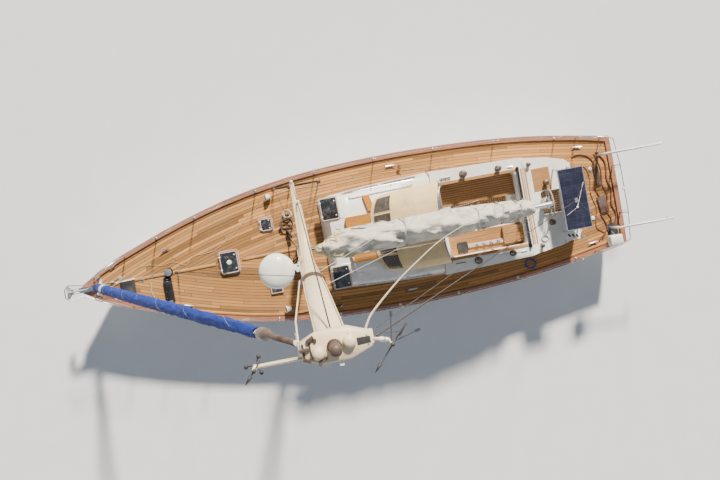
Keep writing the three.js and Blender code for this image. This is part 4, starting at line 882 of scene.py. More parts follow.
def make_finishes():
    """Makes every finish once; pieces look them up by name."""
    c = colours()
    F.update({
        "teak_deck": teak_deck(), "teak_trim": wood("teak_trim", tone(c.teak, 0.92), "X", 0.62),
        "teak_across": wood("teak_across", c.teak, "Y", 0.62),
        "rail": wood("rail_wood", c.rail, "X", 0.38, coat=0.25, dark=0.6),
        "varnish": wood("varnish", c.varnish, "X", 0.3, coat=0.45, dark=0.45),
        "gelcoat": gelcoat("gelcoat", c.gelcoat), "non_skid": non_skid(), "topsides": topsides(),
        "white_paint": gelcoat("white_paint", (0.82, 0.82, 0.80), 0.3, 0.25),
        "spar": gelcoat("spar_paint", c.spar, 0.34, 0.4, 0.2),
        "antifoul": plastic("bottom_paint", c.antifoul, 0.75, 0, 0.5),
        "iron": plastic("keel_iron", tone(c.antifoul, 0.8), 0.8, 0, 0.6),
        "steel": metal("stainless", (0.74, 0.75, 0.76), 0.18),
        # Near-black wire is painted shade: the shrouds, stays and topping lift are coloured as dark as they
        # look in shade.
        "wire": metal("wire_painted_shade", (0.085, 0.075, 0.068), 0.5),
        "alloy": metal("alloy", (0.66, 0.67, 0.69), 0.34, 0.3),
        "winch": metal("aged_winch_drum", (0.25, 0.19, 0.155), 0.36, 0.1, 0.5),
        "bronze": metal("bronze", (0.52, 0.34, 0.13), 0.32, 0.1, 0.5),
        "black_metal": plastic("black_metal", (0.022, 0.022, 0.025), 0.35, 0.2, 0.2, 0.6),
        "galvanised": metal("galvanised", (0.48, 0.49, 0.50), 0.5, 0.3, 0.6),
        "canvas": cloth("canvas", c.canvas, uv="cloth", creases=0.35, facets=0.012),
        "sail": cloth("sailcloth", c.sail, uv="cloth", creases=0.9, shade=0.66, facets=0.11),
        "cover": cloth("sail_cover", c.cover, uv="cloth", creases=0.8, shade=0.4, rough=0.8, stain=0.1,
                       facets=0.03),
        "bag": cloth("sail_bag", (0.72, 0.64, 0.40), creases=0.9, shade=0.6, facets=0.07),
        # Near-black binding cloth for the hood's aft edge: a painted shadow line under that edge.
        "leather": cloth("leather", (0.05, 0.035, 0.03), weave=0.004, rough=0.6),
        "hide": cloth("pale_hide", (0.42, 0.37, 0.31), weave=0.004, rough=0.6),
        "rope": rope("cream_rope", c.rope), "line": rope("tan_line", (0.80, 0.58, 0.28)),
        "white_rope": rope("white_rope", (0.72, 0.70, 0.64), (0.02, 0.06, 0.35)),
        "navy": plastic("dark_slate", (0.022, 0.026, 0.04), 0.7, 0, 0.2),
        "blue_rope": rope("blue_rope", (0.03, 0.12, 0.42)),
        "dark_rope": rope("dark_rope", c.dark_rope, (0.25, 0.22, 0.18)),
        "white_plastic": plastic("white_plastic", (0.86, 0.85, 0.76), 0.32, 0.2, 0.15),
        "frame": plastic("hatch_frame", (0.56, 0.42, 0.37), 0.4, 0.1, 0.4),
        "brown_plastic": plastic("brown_plastic", c.brown, 0.4, 0.1, 0.4),
        "black_plastic": plastic("black_plastic", (0.02, 0.02, 0.021), 0.5),
        "red_plastic": plastic("red_glass", (0.45, 0.03, 0.02), 0.25, 0.4),
        "hose": plastic("red_brown_hose", (0.15, 0.035, 0.018), 0.5, 0.1),
        "dark_glass": glazing("dark_glass", (0.018, 0.02, 0.024)),
        "vinyl": glazing("clear_vinyl", (0.10, 0.085, 0.07), 0.62, 0.12), "solar": solar(),
        "floor": gelcoat("studio_floor", (0.74, 0.75, 0.76), 0.7, 0.0, 0.0),
    })


class SLOOP_OT_stage(bpy.types.Operator):
    """Places the camera as the photograph was taken, the pale floor at the waterline and the studio light"""

    bl_idname = "sloop.stage"
    bl_label = "Stage"

    def execute(self, context):
        view = bpy.data.cameras.new("Camera")
        view.lens, view.sensor_width, view.clip_end = CAMERA_LENS, 36.0, 400.0
        camera = bpy.data.objects.new("Camera", view)
        back = CAMERA_RIGHT.cross(CAMERA_UP)
        turned = Matrix([[CAMERA_RIGHT[i], CAMERA_UP[i], back[i]] for i in range(3)])
        camera.matrix_world = Matrix.Translation(CAMERA_AT) @ turned.to_4x4()
        context.scene.collection.objects.link(camera)
        context.scene.camera = camera
        reach = 140.0
        floor = Shape()
        floor.add([(-reach, -reach, 0), (reach, -reach, 0), (reach, reach, 0), (-reach, reach, 0)],
                  [[0, 1, 2, 3]])
        floor.make("floor", "floor", body=None)
        world = bpy.data.worlds.new("World")
        world.use_nodes = True
        sky = world.node_tree.nodes["Background"]
        sky.inputs["Color"].default_value = (0.76, 0.85, 1.0, 1)
        sky.inputs["Strength"].default_value = 0.33
        context.scene.world = world
        lamps = (("Key", (-0.35, -1.05, 0.82), 10.5, 5, (1.0, 0.92, 0.80)),
                 ("Fill", (-0.7, 0.8, 1.3), 0.25, 60, (0.80, 0.88, 1.0)))
        for name, aim, strength, spread_angle, hue in lamps:
            lamp = bpy.data.lights.new(name, "SUN")
            lamp.energy, lamp.angle, lamp.color = strength, math.radians(spread_angle), hue
            obj = bpy.data.objects.new(name, lamp)
            obj.rotation_euler = Vector(aim).to_track_quat("Z", "Y").to_euler()
            context.scene.collection.objects.link(obj)
        return {"FINISHED"}


NODE_FINISH = {
    "hull": "topsides", "cap_rail": "rail", "keel": "iron", "skeg": "antifoul", "rudder": "antifoul",
    "propeller_shaft": "bronze", "propeller": "bronze", "coachroof": "gelcoat", "hatch_garage": "varnish",
    "companionway_hatch": "varnish", "cockpit": "gelcoat", "traveller": "black_metal",
    "helm_pedestal": "white_plastic",
    "helm_wheel": "steel", "solar_panel": "solar", "panel_frame": "steel", "mast": "spar",
    "spreaders_lower": "spar", "spreaders_upper": "spar", "masthead_crane": "spar",
    "masthead_light": "brown_plastic", "wind_vane": "black_plastic", "anemometer": "black_plastic",
    "radar_bracket": "white_paint", "radar_dome": "white_plastic", "gooseneck": "steel", "boom": "alloy",
    "furler_drum": "black_metal", "headsail_swivel": "brown_plastic", "forestay_toggle": "black_metal",
    "furled_headsail": "sail", "wind_sensor_vane": "black_plastic",
    # Shrouds and stays take the near-black wire finish, which is painted shade.
    "shrouds_port": "wire", "shrouds_starboard": "wire", "inner_forestay": "wire", "backstay": "wire",
    "stem_fitting": "steel", "anchor": "galvanised", "windlass": "black_metal", "fore_hatch": "dark_glass",
    "foredeck_hatch": "dark_glass", "roof_hatch_port": "dark_glass", "roof_hatch_starboard": "dark_glass",
    "pulpit": "steel", "pushpit": "steel", "lifelines_port": "steel", "lifelines_starboard": "steel",
    "davit_port": "white_paint", "davit_starboard": "white_paint", "lifebuoy": "white_plastic",
    "primary_winch_port": "winch", "primary_winch_starboard": "winch", "secondary_winch_port": "winch",
    "secondary_winch_starboard": "winch",
}


class SLOOP_OT_finishes(bpy.types.Operator):
    """Makes the materials and gives each solid of the model its finish"""

    bl_idname = "sloop.finishes"
    bl_label = "Finishes"

    def execute(self, context):
        make_finishes()
        for name, node in NODES.items():
            finish = NODE_FINISH.get(name, "steel")
            for i in range(len(node.data.materials)):
                node.data.materials[i] = F[finish]
        return {"FINISHED"}


# Solids with round sides, and the angle in degrees up to which their faces shade as one surface
ROUND_SOLIDS = {
    "hull": 28, "keel": 35, "skeg": 40, "rudder": 40, "propeller": 45, "cap_rail": 35, "mast": 50,
    "boom": 50, "spreaders_lower": 50, "spreaders_upper": 50, "masthead_crane": 35, "masthead_light": 45,
    "radar_dome": 45, "davit_port": 70, "davit_starboard": 70, "pulpit": 70, "pushpit": 70,
    "lifelines_port": 70, "lifelines_starboard": 70, "panel_frame": 70, "helm_wheel": 70,
    "helm_pedestal": 40, "windlass": 45, "furler_drum": 50, "headsail_swivel": 50, "shrouds_port": 70,
    "shrouds_starboard": 70, "inner_forestay": 70, "backstay": 70, "primary_winch_port": 45,
    "primary_winch_starboard": 45, "secondary_winch_port": 45, "secondary_winch_starboard": 45,
    "wind_vane": 50, "wind_sensor_vane": 50, "anemometer": 50, "gooseneck": 50, "propeller_shaft": 50,
    "furled_headsail": 50, "fore_hatch": 35, "foredeck_hatch": 35, "roof_hatch_port": 35,
    "roof_hatch_starboard": 35, "lifebuoy": 35, "coachroof": 20, "cockpit": 20,
}


class SLOOP_OT_skins(bpy.types.Operator):
    """Gives the rounded solids a joined skin that light runs over smoothly"""

    bl_idname = "sloop.skins"
    bl_label = "Smooth skins"

    def execute(self, context):
        for name, angle in ROUND_SOLIDS.items():
            mesh = merged_mesh(name)
            mesh.materials.append(F[NODE_FINISH[name]])
            settle(name + "_skin", mesh, NODES[name]["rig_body"], angle, stands_for=(name,))
        return {"FINISHED"}


HALYARD_WIDE, LINE_WIDE = 0.018, 0.012
HALYARD_ROUTE = [(1.12, 0, 18.511), (1.112, 0, 18.4), (1.055, 0, 17.9), (0.923, 0, 17.095), (0.44, 0, 14.789),
                 (-0.163, 0.002, 12.2), (-0.66, 0.008, 10.1), (-1.225, 0.014, 7.934), (-1.86, 0.02, 5.75),
                 (-2.42, 0.023, 4.15), (-2.78, 0.024, 3.42), (-2.9, 0.025, 3.236)]
LINE_FROM = [(6.23, 0.05, 1.905), (6.165, 0.06, 1.75), (6.08, 0.055, 1.6)]
LINE_ON_DECK = [(5.964, 0.028), (5.619, -0.129), (5.297, -0.29), (5.005, -0.283), (4.776, -0.222),
                (4.519, -0.265), (4.337, -0.192), (4.203, -0.117), (4.022, -0.294), (3.747, -0.317),
                (3.442, -0.358), (3.138, -0.526), (2.882, -0.702), (2.559, -0.967), (2.292, -1.163),
                (1.915, -1.38), (1.592, -1.455), (1.2, -1.48), (0.6, -1.47), (-0.4, -1.49), (-1.3, -1.465),
                (-2.0, -1.42), (-2.4, -1.385)]
LINE_TO = [(-2.58, -1.34, 1.45), (-2.68, -1.305, 1.6), (-2.74, -1.294, 1.72)]


def roping(name, route, thickness, finish, body, points=120):
    """A round rope along a smooth route, its points and its length."""
    path = curve_through(route, points)
    shape = Shape()
    shape.tube(path, thickness / 2, 10)
    obj = shape.make(name, finish, "rope", 80, body)
    return obj, path, sum((b - a).length for a, b in zip(path, path[1:]))


class SLOOP_OT_cords(bpy.types.Operator):
    """Lays the slack main halyard from the masthead and the furling line along the side deck"""

    bl_idname = "sloop.cords"
    bl_label = "Slack cords"

    def execute(self, context):
        halyard, path, reach = roping("main_halyard_rope", HALYARD_ROUTE, HALYARD_WIDE, "rope", None)
        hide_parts("main_halyard")
        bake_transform(halyard)
        plan = curve_through([(x, y, 0) for x, y in LINE_ON_DECK], 71)
        lying = [(p.x, p.y, top_of(p.x, p.y) + LINE_WIDE / 2 + 0.003) for p in plan]
        route = LINE_FROM + lying + LINE_TO
        line, path, reach = roping("furling_line_rope", route, LINE_WIDE, "line", "yacht", points=220)
        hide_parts("furling_line")
        return {"FINISHED"}


def wobble(x, y, z=0.0, seed=0.0):
    """Smooth noise from -1 to 1."""
    return noise.noise(Vector((x + seed * 3.1, y - seed * 1.7, z + seed * 0.9)))


def ridged(x, y, z=0.0, seed=0.0):
    """Noise with sharp crests, from 0 to 1."""
    return (1.0 - abs(wobble(x, y, z, seed)) * 2.2) ** 2


SAIL_TIES = (-1.05, -2.78, -3.38, -3.82)
# Creases in a cloth: angle, length, weight
CREASES = ((1.18, 0.36, 0.40), (2.02, 0.29, 0.30), (0.55, 0.62, 0.20), (1.62, 0.13, 0.10))


def creased(x, y, seed):
    """Straight sharp folds that cross one another at angles, from 0 to 1."""
    total = 0.0
    for n, (angle, run, weight) in enumerate(CREASES):
        at = (x * math.cos(angle) + y * math.sin(angle)) / run + n * 0.37 + seed * 0.61
        at += 0.30 * wobble(x * 0.9, y * 1.4, n * 3.1, seed)
        total += weight * abs(2 * (at - math.floor(at + 0.5)))
    return total


def flaked_cloth(s):
    """Rows of points of the mainsail, folded from side to side over the boom, row by row across."""
    front, steps_along, across = 0.86, 190, 14
    rows = []
    boom_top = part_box("boom")[1].z
    solid = tree_of("mainsail")
    limits = []
    for x in spread(front, -4.2, steps_along):
        hits = [solid.ray_cast(Vector((x, 3, z)), Vector((0, -1, 0)))[0] for z in (2.85, 2.95, 3.05, 3.15)]
        limits.append(max((hit.y for hit in hits if hit), default=0.3) - 0.006)
    pitch = 0.27 / s.flakes
    for k in range(s.flakes):
        share = k / (s.flakes - 1)
        leech = -4.2 + 1.25 * share ** 1.8
        for m in range(across + (k == s.flakes - 1)):
            turned = k + m / across
            u = -math.cos(math.pi * turned)
            rise = turned - 0.5 * math.sin(2 * math.pi * m / across) / math.pi
            row = []
            for j in range(steps_along):
                t = j / (steps_along - 1)
                x = lerp(front, leech, t)
                tie = min(abs(x - at) for at in SAIL_TIES)
                loose = min(1.0, 0.78 + (tie / 0.35) ** 1.2)
                side = math.copysign(abs(u) ** 0.85, u)
                waver = wobble(x * 0.9, k * 2.3, side, s.seed)
                pinch = creased(x * 1.3, k * 0.31 + side, s.seed) - 0.5
                width = s.sail_flake / 2 * loose * (1.0 - 0.08 * share + 0.34 * waver + 0.42 * pinch)
                narrowing = 1.0 - 0.45 * max(0.0, t - 0.75) * 4 * (t > 0.75)
                width *= min(1.0, 0.45 + 1.3 * (front - x)) * narrowing
                shift = 0.075 * loose * wobble(x * 0.8, k * 0.55, 9, s.seed)
                y = shift + side * width
                hang = (0.44 - 0.13 * share) * abs(side) ** 1.7 * min(1.0, 0.4 + (front - x)) * width / 0.3
                height = boom_top + 0.012 + rise * pitch * (0.72 + 0.4 * loose)
                fold = wobble(x * 1.3, y * 5.0, share * 1.1, s.seed + 2)
                crest = creased(x, y + k * 0.02, s.seed)
                pleat = creased(x * 2.1, y * 1.9 + k * 0.05, s.seed + 5)
                puff = (0.25 + 0.75 * share) * loose
                z = height - hang + puff * (0.05 * fold + 0.27 * crest + 0.04 * pleat - 0.13)
                x += puff * 0.03 * wobble(x * 2.0, y * 4.0, k * 0.4, s.seed + 8)
                if abs(y) < 0.085:
                    z = max(z, boom_top + 0.006 + rise * 0.004)
                place = (front - x) / (front + 4.2) * (steps_along - 1)
                most = float(np.interp(place, range(steps_along), limits))
                row.append(Vector((x, max(-most, min(most, y)), max(z, 2.705 + rise * 0.0015))))
            rows.append(row)
    return rows


class SLOOP_OT_mainsail(bpy.types.Operator):
    """Flakes the mainsail over the boom and ties it down"""

    bl_idname = "sloop.mainsail"
    bl_label = "Mainsail"

    def execute(self, context):
        s = sizes()
        rows = flaked_cloth(s)
        shape = Shape()
        gap = s.sail_flake / 14
        shape.patch(rows, uv=lambda i, j: (j * 0.03, i * gap))
        sail = shape.make("flaked_mainsail", "sail", "sailcloth", 180, "boom", sheet=s.cloth,
                          stands_for=("mainsail",), recalculate=False)
        ties = Shape()
        for x in SAIL_TIES:
            near = [p for row in rows for p in row if abs(p.x - x) < 0.05]
            ring = []
            for t in turns(28):
                aim = Vector((0, math.cos(t), math.sin(t)))
                middle = Vector((x, 0, 2.95))
                reach = max([(p - middle).dot(aim) for p in near if (p - middle).normalized().dot(aim) > 0.9],
                            default=0.07)
                ring.append(middle + aim * max(reach + 0.006, 0.075))
            ring = [(ring[i - 1] + ring[i] * 2 + ring[(i + 1) % len(ring)]) / 4 for i in range(len(ring))]
            tape = [[p + Vector((dx + 0.05 * math.sin(i * 0.45), 0, 0)) for dx in (-0.014, 0.014)]
                    for i, p in enumerate(ring + ring[:1])]
            ties.patch(tape)
        tied = ties.make("sail_ties", "white_rope", "canvas", body="boom", sheet=0.002)
        bag = Shape()
        lumps = ((0.62, 0.05, 3.14, 0.30, 0.26, 0.17), (0.34, -0.17, 3.05, 0.30, 0.17, 0.15),
                 (0.30, 0.20, 3.03, 0.26, 0.16, 0.13), (0.87, 0.03, 3.125, 0.20, 0.14, 0.12))
        for n, (x, y, z, rx, ry, rz) in enumerate(lumps):
            rings = []
            for v in spread(0.08, math.pi - 0.08, 26):
                ring = []
                for u in turns(44):
                    p = Vector((math.sin(v) * math.cos(u), math.sin(v) * math.sin(u), math.cos(v)))
                    swell = 0.86 + 0.16 * ridged(p.x * 1.5 + n, p.y * 1.5, p.z * 1.5, 2)
                    swell += 0.12 * wobble(*(p * 3.5), n)
                    at = Vector((x, y, z)) + Vector((p.x * rx, p.y * ry, p.z * rz)) * swell
                    ring.append(Vector((at.x, max(-0.355, min(0.355, at.y)), max(2.72, min(3.36, at.z)))))
                rings.append(ring)
            bag.loft(rings)
        pile = bag.make("luff_bundle", "bag", "sailcloth", 180, "boom")
        fall = Shape()
        coil(fall, (0.66, -0.10, 3.27), 0.12, 0.014, 4, 0.45, 8)
        coil(fall, (0.74, 0.16, 3.14), 0.09, 0.012, 3, 0.5, 4)
        fall.make("coiled_luff_line", "line", "rope", 80, "boom")
        head = Shape()
        head.slab([(-2.78, -0.05), (-2.98, -0.06), (-3.0, 0.11), (-2.80, 0.09)], 3.27, 3.28)
        head.make("headboard", "alloy", "alloy", body="boom")
        return {"FINISHED"}


def stay_point(k):
    return STAY_FOOT.lerp(STAY_HEAD, k)


ROLL = ((0.02173, 0.060), (0.028, 0.088), (0.1, 0.092), (0.5, 0.072), (0.9, 0.038), (0.925, 0.026))


def furled_radius(k):
    """Radius of the rolled headsail's solid at a share of the stay's length."""
    return float(np.interp(k, [row[0] for row in ROLL], [row[1] for row in ROLL]))


def round_stay(k, angle, r):
    """Point round the stay at a share of its length."""
    aim = (STAY_HEAD - STAY_FOOT).normalized()
    over = aim.cross(Vector((0, 1, 0)))
    return stay_point(k) + (Vector((0, 1, 0)) * math.cos(angle) + over * math.sin(angle)) * r


class SLOOP_OT_headsail(bpy.types.Operator):
    """Rolls the blue sun strip round the headsail, with its winding edge, creases and lashing"""

    bl_idname = "sloop.headsail"
    bl_label = "Rolled headsail"

    def execute(self, context):
        seed = sizes().seed
        foot, head, count, around = 0.026, 0.922, 460, 32
        rows = []
        for i in range(count):
            t = i / (count - 1)
            k = lerp(foot, head, t)
            twist = 2 * math.pi * 8.0 * t ** 0.85
            row = []
            for j in range(around + 1):
                turn = j / around * 1.06 * 2 * math.pi
                lump = wobble(math.cos(turn) * 0.8, math.sin(turn) * 0.8, k * 17.0, seed + 3)
                crest = ridged(math.cos(turn + twist) * 1.4, math.sin(turn + twist) * 1.4, k * 30.0, seed)
                r = furled_radius(k) + 0.003 + 0.006 * (j / around) + 0.004 * (1 + lump) + 0.013 * crest
                row.append(round_stay(k, turn + twist, r))
            rows.append(row)
        shape = Shape()
        shape.patch(rows, uv=lambda i, j: (i * 0.0345, j * 0.02))
        strip = shape.make("sun_strip", "cover", "sail_cover", 60, "furler")
        sheets = Shape()
        for k0, turns_round, offset in ((0.105, 5.0, 0.0), (0.125, 3.5, 1.6)):
            path = [round_stay(k0 + i * 0.00026, i / 14 * 2 * math.pi + offset, furled_radius(k0) + 0.022)
                    for i in range(int(turns_round * 14))]
            sheets.tube(path, 0.007, 6)
        sheets.make("headsail_sheet_turns", "white_rope", "sail_cover", 80, "furler")
        edge = [round_stay(lerp(foot, head, t), 2 * math.pi * (8.0 * t ** 0.85 + 0.06),
                           furled_radius(lerp(foot, head, t)) + 0.021) for t in spread(0.0, 1.0, 400)]
        repeat_along("strip_stitches", [edge], "bar", 0.03, (0.002, 0.002, 0.016), "white_rope",
                     "furler")
        return {"FINISHED"}


HOOD_RINGS = ((-0.64, 0.905, 0.215, 0.23), (-0.82, 0.935, 0.33, 0.19), (-1.06, 0.96, 0.47, 0.12),
              (-1.4, 0.985, 0.59, 0.04), (-1.8, 1.0, 0.64, 0.03), (-2.19, 1.005, 0.65, 0.17))
HOOD_BASE = 1.868
HOOD_BOWS = (0.30, 0.66, 0.985)
HOOD_PANES = ((0.15, 0.385), (0.405, 0.595), (0.615, 0.85))


def hood_point(t, a, inset=0.0):
    """Point of the hood: t from its front to its aft edge, a round the arch from starboard to port."""
    at = t * (len(HOOD_RINGS) - 1)
    x, w, h, lead = [float(np.interp(at, range(len(HOOD_RINGS)), [r[i] for r in HOOD_RINGS]))
                     for i in range(4)]
    c, s = -math.cos(a), math.sin(a)
    slack = 0.020 * math.sin(math.pi * ((t * 3.0) % 1.0)) * s * (t > 0.3)
    seams = 0.006 * wobble(x * 6, c * 4, 1.0, 3) + 0.012 * wobble(x * 2.5, c * 7, 2.0, 5)
    w, h = w - inset, h - inset
    y = w * math.copysign(abs(c) ** 0.55, c) if c else 0.0
    return Vector((x + lead * s * s, y * (1 - slack * 0.4), HOOD_BASE + h * s ** 0.6 - slack + seams * s))


class SLOOP_OT_hood(bpy.types.Operator):
    """Stretches the sprayhood over its bows, with vinyl windows, bindings, stitches and a grab rail; the aft
    binding is near-black, a painted shadow under the hood's aft edge
    """

    bl_idname = "sloop.hood"
    bl_label = "Sprayhood"

    def execute(self, context):
        rows, cols = 46, 73
        grid = [[hood_point(i / (rows - 1), lerp(0.0, math.pi, j / (cols - 1))) for j in range(cols)]
                for i in range(rows)]
        shape = Shape()
        shape.patch(grid, uv=lambda i, j: (i * 0.034, j * 0.04))
        for i in range(rows - 1):
            for j in range(cols - 1):
                a, t = (j + 0.5) / (cols - 1), (i + 0.5) / (rows - 1)
                if 0.055 < t < 0.36 and any(low < a < high for low, high in HOOD_PANES):
                    shape.marks[i * (cols - 1) + j] = 1
        hood = shape.make("hood_canvas", "canvas vinyl", "canvas", 50, sheet=sizes().cloth,
                          stands_for=("sprayhood",))
        binding, seams = Shape(), []
        # The front binding is canvas; the aft binding is near-black, a painted shadow line under the hood's
        # aft edge.
        for t in (0.0, 1.0):
            binding.tube([hood_point(t, lerp(0.0, math.pi, j / 60)) for j in range(61)], 0.011, 6,
                         mark=int(t))
        lift = up(0.0035)
        for low, high in HOOD_PANES:
            corners = [(0.055, low), (0.055, high), (0.36, high), (0.36, low), (0.055, low)]
            loop = []
            for (t0, a0), (t1, a1) in zip(corners, corners[1:]):
                loop += [hood_point(lerp(t0, t1, n / 12), math.pi * lerp(a0, a1, n / 12)) + lift
                         for n in range(12)]
            binding.tube(loop + loop[:1], 0.0085, 5, flat=0.6)
            seams.append(loop)
        for t in HOOD_BOWS:
            band = [hood_point(t, lerp(0.12, math.pi - 0.12, j / 60)) + lift for j in range(61)]
            seams += [[p + Vector((dx, 0, 0)) for p in band] for dx in (-0.03, 0.03)]
        trim = binding.make("hood_binding", "canvas leather", "canvas", 80)
        stitches = repeat_along("hood_stitches", seams, "bar", 0.012, (0.002, 0.002, 0.007), "white_rope")
        tubes = Shape()
        for t in HOOD_BOWS:
            bow = [hood_point(t, lerp(0.02, math.pi - 0.02, j / 40), 0.02) for j in range(41)]
            tubes.tube(bow, 0.0125, 10)
        grab = [hood_point(0.985, lerp(0.75, math.pi - 0.75, j / 20)) + Vector((-0.03, 0, 0.012))
                for j in range(21)]
        step = Vector((0.03, 0, -0.02))
        tubes.tube([grab[0] + step] + grab + [grab[-1] + step], 0.011, 10)
        tubes.make("hood_bows", "steel", "stainless", 60)
        return {"FINISHED"}


def edge_distance(x, y):
    """Distance in plan from a place on deck to the inner side of the cap rail."""
    best = 9.0
    for (x0, y0, _), (x1, y1, _) in zip(SHEER, SHEER[1:]):
        a, b = Vector((x0, y0 - DECK_EDGE)), Vector((x1, y1 - DECK_EDGE))
        run = b - a
        t = max(0.0, min(1.0, (Vector((x, abs(y))) - a).dot(run) / run.length_squared))
        best = min(best, (Vector((x, abs(y))) - a - run * t).length)
    return best


def cut_fine(mesh, pitch_x, pitch_y):
    """Cuts a mesh along a grid in plan, so that a map over it can bend."""
    made = bmesh.new()
    made.from_mesh(mesh)
    low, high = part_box("deck")
    cuts = [((x, 0, 0), (1, 0, 0)) for x in np.arange(low.x + pitch_x, high.x, pitch_x)]
    cuts += [((0, y, 0), (0, 1, 0)) for y in np.arange(-pitch_y * 12, pitch_y * 12.5, pitch_y)]
    for at, across in cuts:
        bmesh.ops.bisect_plane(made, geom=made.verts[:] + made.edges[:] + made.faces[:], dist=1e-5,
                               plane_co=at, plane_no=across)
    made.to_mesh(mesh)
    made.free()


def in_hatch(x, y, grow):
    return any(x0 - grow < x < x1 + grow and abs(y - y0) < half + grow
               for x0, x1, y0, half in HATCHES.values())


class SLOOP_OT_deck(bpy.types.Operator):
    """Planks the deck along the rail on each side, with margins, king plank and hatch frames"""

    bl_idname = "sloop.deck"
    bl_label = "Teak deck"

    def execute(self, context):
        mesh = merged_mesh("deck")
        cut_fine(mesh, 0.27, 0.15)
        mesh.materials.append(F["teak_deck"])
        layer = mesh.uv_layers.new(name="planks")
        reach = [edge_distance(v.co.x, v.co.y) for v in mesh.vertices]
        for face in mesh.polygons:
            side = 0.0 if face.center.y > 0 else 40.0
            for loop in face.loop_indices:
                v = mesh.vertices[mesh.loops[loop].vertex_index]
                layer.data[loop].uv = (v.co.x + side, reach[v.index])
        settle("planked_deck", mesh, "yacht", 30, stands_for=("deck",))
        boards = Shape()
        for side in (1, -1):
            rows = []
            for x in spread(6.0, -6.62, 90):
                y = side * (half_beam(x) - DECK_EDGE - 0.001)
                inner = y - side * 0.085
                rows.append([(x, y, top_of(x, y - side * 0.02) + 0.0022),
                             (x, inner, top_of(x, inner) + 0.0022)])
            boards.patch(rows if side > 0 else [r[::-1] for r in rows])
        boards.make("covering_boards", "teak_trim", "teak", 30, sheet=0.004)
        king = Shape()
        rows = []
        for x in spread(6.05, 1.05, 40):
            half = 0.045 if not in_hatch(x, 0, 0.04) else 0.0
            if half:
                rows.append([(x, half, top_of(x, half) + 0.002), (x, -half, top_of(x, -half) + 0.002)])
            elif rows:
                king.patch(rows)
                rows = []
        king.patch(rows)
        plugs = [[on_top(x, side * (half_beam(x) - DECK_EDGE - 0.045), 0.0045) for x in spread(6.0, -6.6, 90)]
                 for side in (1, -1)]
        repeat_along("deck_plugs", plugs, "pin", 0.22, (0.011, 0.002, 0.011), "rail")
        frames = Shape()
        for name, (x0, x1, y, half) in HATCHES.items():
            if "roof" in name:
                continue
            frames.border(x0, x1, y - half, y + half, 0.026, lambda u, v: top_of(u, v, 1.49) - 0.004,
                          lambda u, v: top_of(u, v, 1.49) + 0.009, corner=0.045)
        x, y = 2.13, 0.82
        low = top_of(x, y, 1.49) - 0.003
        skylight = Shape()
        skylight.block((x, y, low + 0.028), (0.31, 0.31, 0.056), bevel=0.018, mark=1)
        skylight.slab(rounded(x - 0.125, x + 0.125, y - 0.125, y + 0.125, 0.03), low + 0.05, low + 0.062)
        skylight.make("fixed_deck_light", "dark_glass frame", "dark_glass")
        frames.make("deck_hatch_frames", "frame", "white_plastic")
        king.make("king_plank", "teak_trim", "teak", 30, sheet=0.004)
        return {"FINISHED"}


class SLOOP_OT_rail(bpy.types.Operator):
    """Adds a bright steel strip along the cap rail's outer top edge as a painted highlight, scarf joints and
    the rubbing strake
    """

    bl_idname = "sloop.rail"
    bl_label = "Rail trim"

    def execute(self, context):
        strake, scarfs = Shape(), Shape()
        xs = spread(6.62, -6.74, 80)
        for side in (1, -1):
            # Steel strip along the rail's outer top edge: a painted highlight, the bright line that light
            # draws on that edge.
            edge = [Vector((x, side * (half_beam(x) + 0.006), sheer(x) + RAIL_HEIGHT - 0.012)) for x in xs]
            strake.tube(edge, 0.011, 8)
            low = [Vector((x, side * (half_beam(x) - 0.002), sheer(x) - 0.115)) for x in xs]
            strake.tube(low, 0.016, 8, mark=1)
            for x in (4.9, 2.9, 0.9, -1.3, -3.5, -5.4):
                for step in range(3):
                    at = rail_point(x + step * 0.05, side, 0.0006) + Vector((0, side * (step - 1) * 0.036, 0))
                    scarfs.block(at, (0.058, 0.003, 0.0012), turn=-side * 0.12)
        strake.make("rail_highlight_strip_and_strake", "steel rail", "stainless", 50)
        scarfs.make("rail_scarfs", "black_plastic", "rail_wood")
        return {"FINISHED"}
TAPER = ((14.5, 18.56), (1.0, 0.82))           # heights between which the mast narrows, and its widths there
# Halyards: angle on the mast, lower end
HALYARD_RUNS = ((2.75, 1.9), (-2.75, 1.9), (0.32, 2.1), (-0.32, 2.1), (2.2, 2.4))
# Winches and cleats: height, angle on the mast
MAST_WINCHES = ((1.62, 1.9), (1.62, -1.9), (1.95, 1.3), (1.95, -1.3))
MAST_CLEATS = ((1.78, 2.3), (1.78, -2.3), (1.5, 0.5), (1.5, -0.5), (2.15, 2.4))
COLLARS = ((12.75, 12.90, 0.042), (1.44, 1.52, 0.012), (8.86, 8.9, 0.006))           # foot, head, thickness
CRANE_PLATE, CRANE_TOP = 18.709, 18.7095
CRANE_STUDS = ((1.49, -0.075, 0.5), (1.53, 0.06, -0.4), (1.44, 0.085, 0.9), (1.545, -0.01, 0.1))
CRANE_RIVETS = ((1.47, -0.04), (1.47, 0.04), (1.24, -0.06), (1.24, 0.06), (1.12, 0.03), (1.12, -0.03))
FORE_HALYARDS = (([(1.585, -0.01, 17.0), (1.505, -0.04, 12.9)], 0.0), ([(1.60, 0.05, 17.3)], 0.03))
SCREW_PARTS = ((0.0, 0.05, 1.0), (0.05, 0.11, 0.7), (0.11, 0.25, 1.35), (0.25, 0.31, 0.7), (0.31, 0.42, 0.95))


def mast_side(angle, z, off=0.0):
    """Point on the mast's skin; angle 0 is forward and a quarter turn is port."""
    k = float(np.interp(z, *TAPER))
    return Vector((MAST_X + (MAST_CHORD / 2 * k + off) * math.cos(angle),
                   (MAST_WIDTH / 2 * k + off) * math.sin(angle), z))


def mast_out(angle, z):
    """Direction away from the mast's skin."""
    return (mast_side(angle, z, 0.1) - mast_side(angle, z)).normalized()


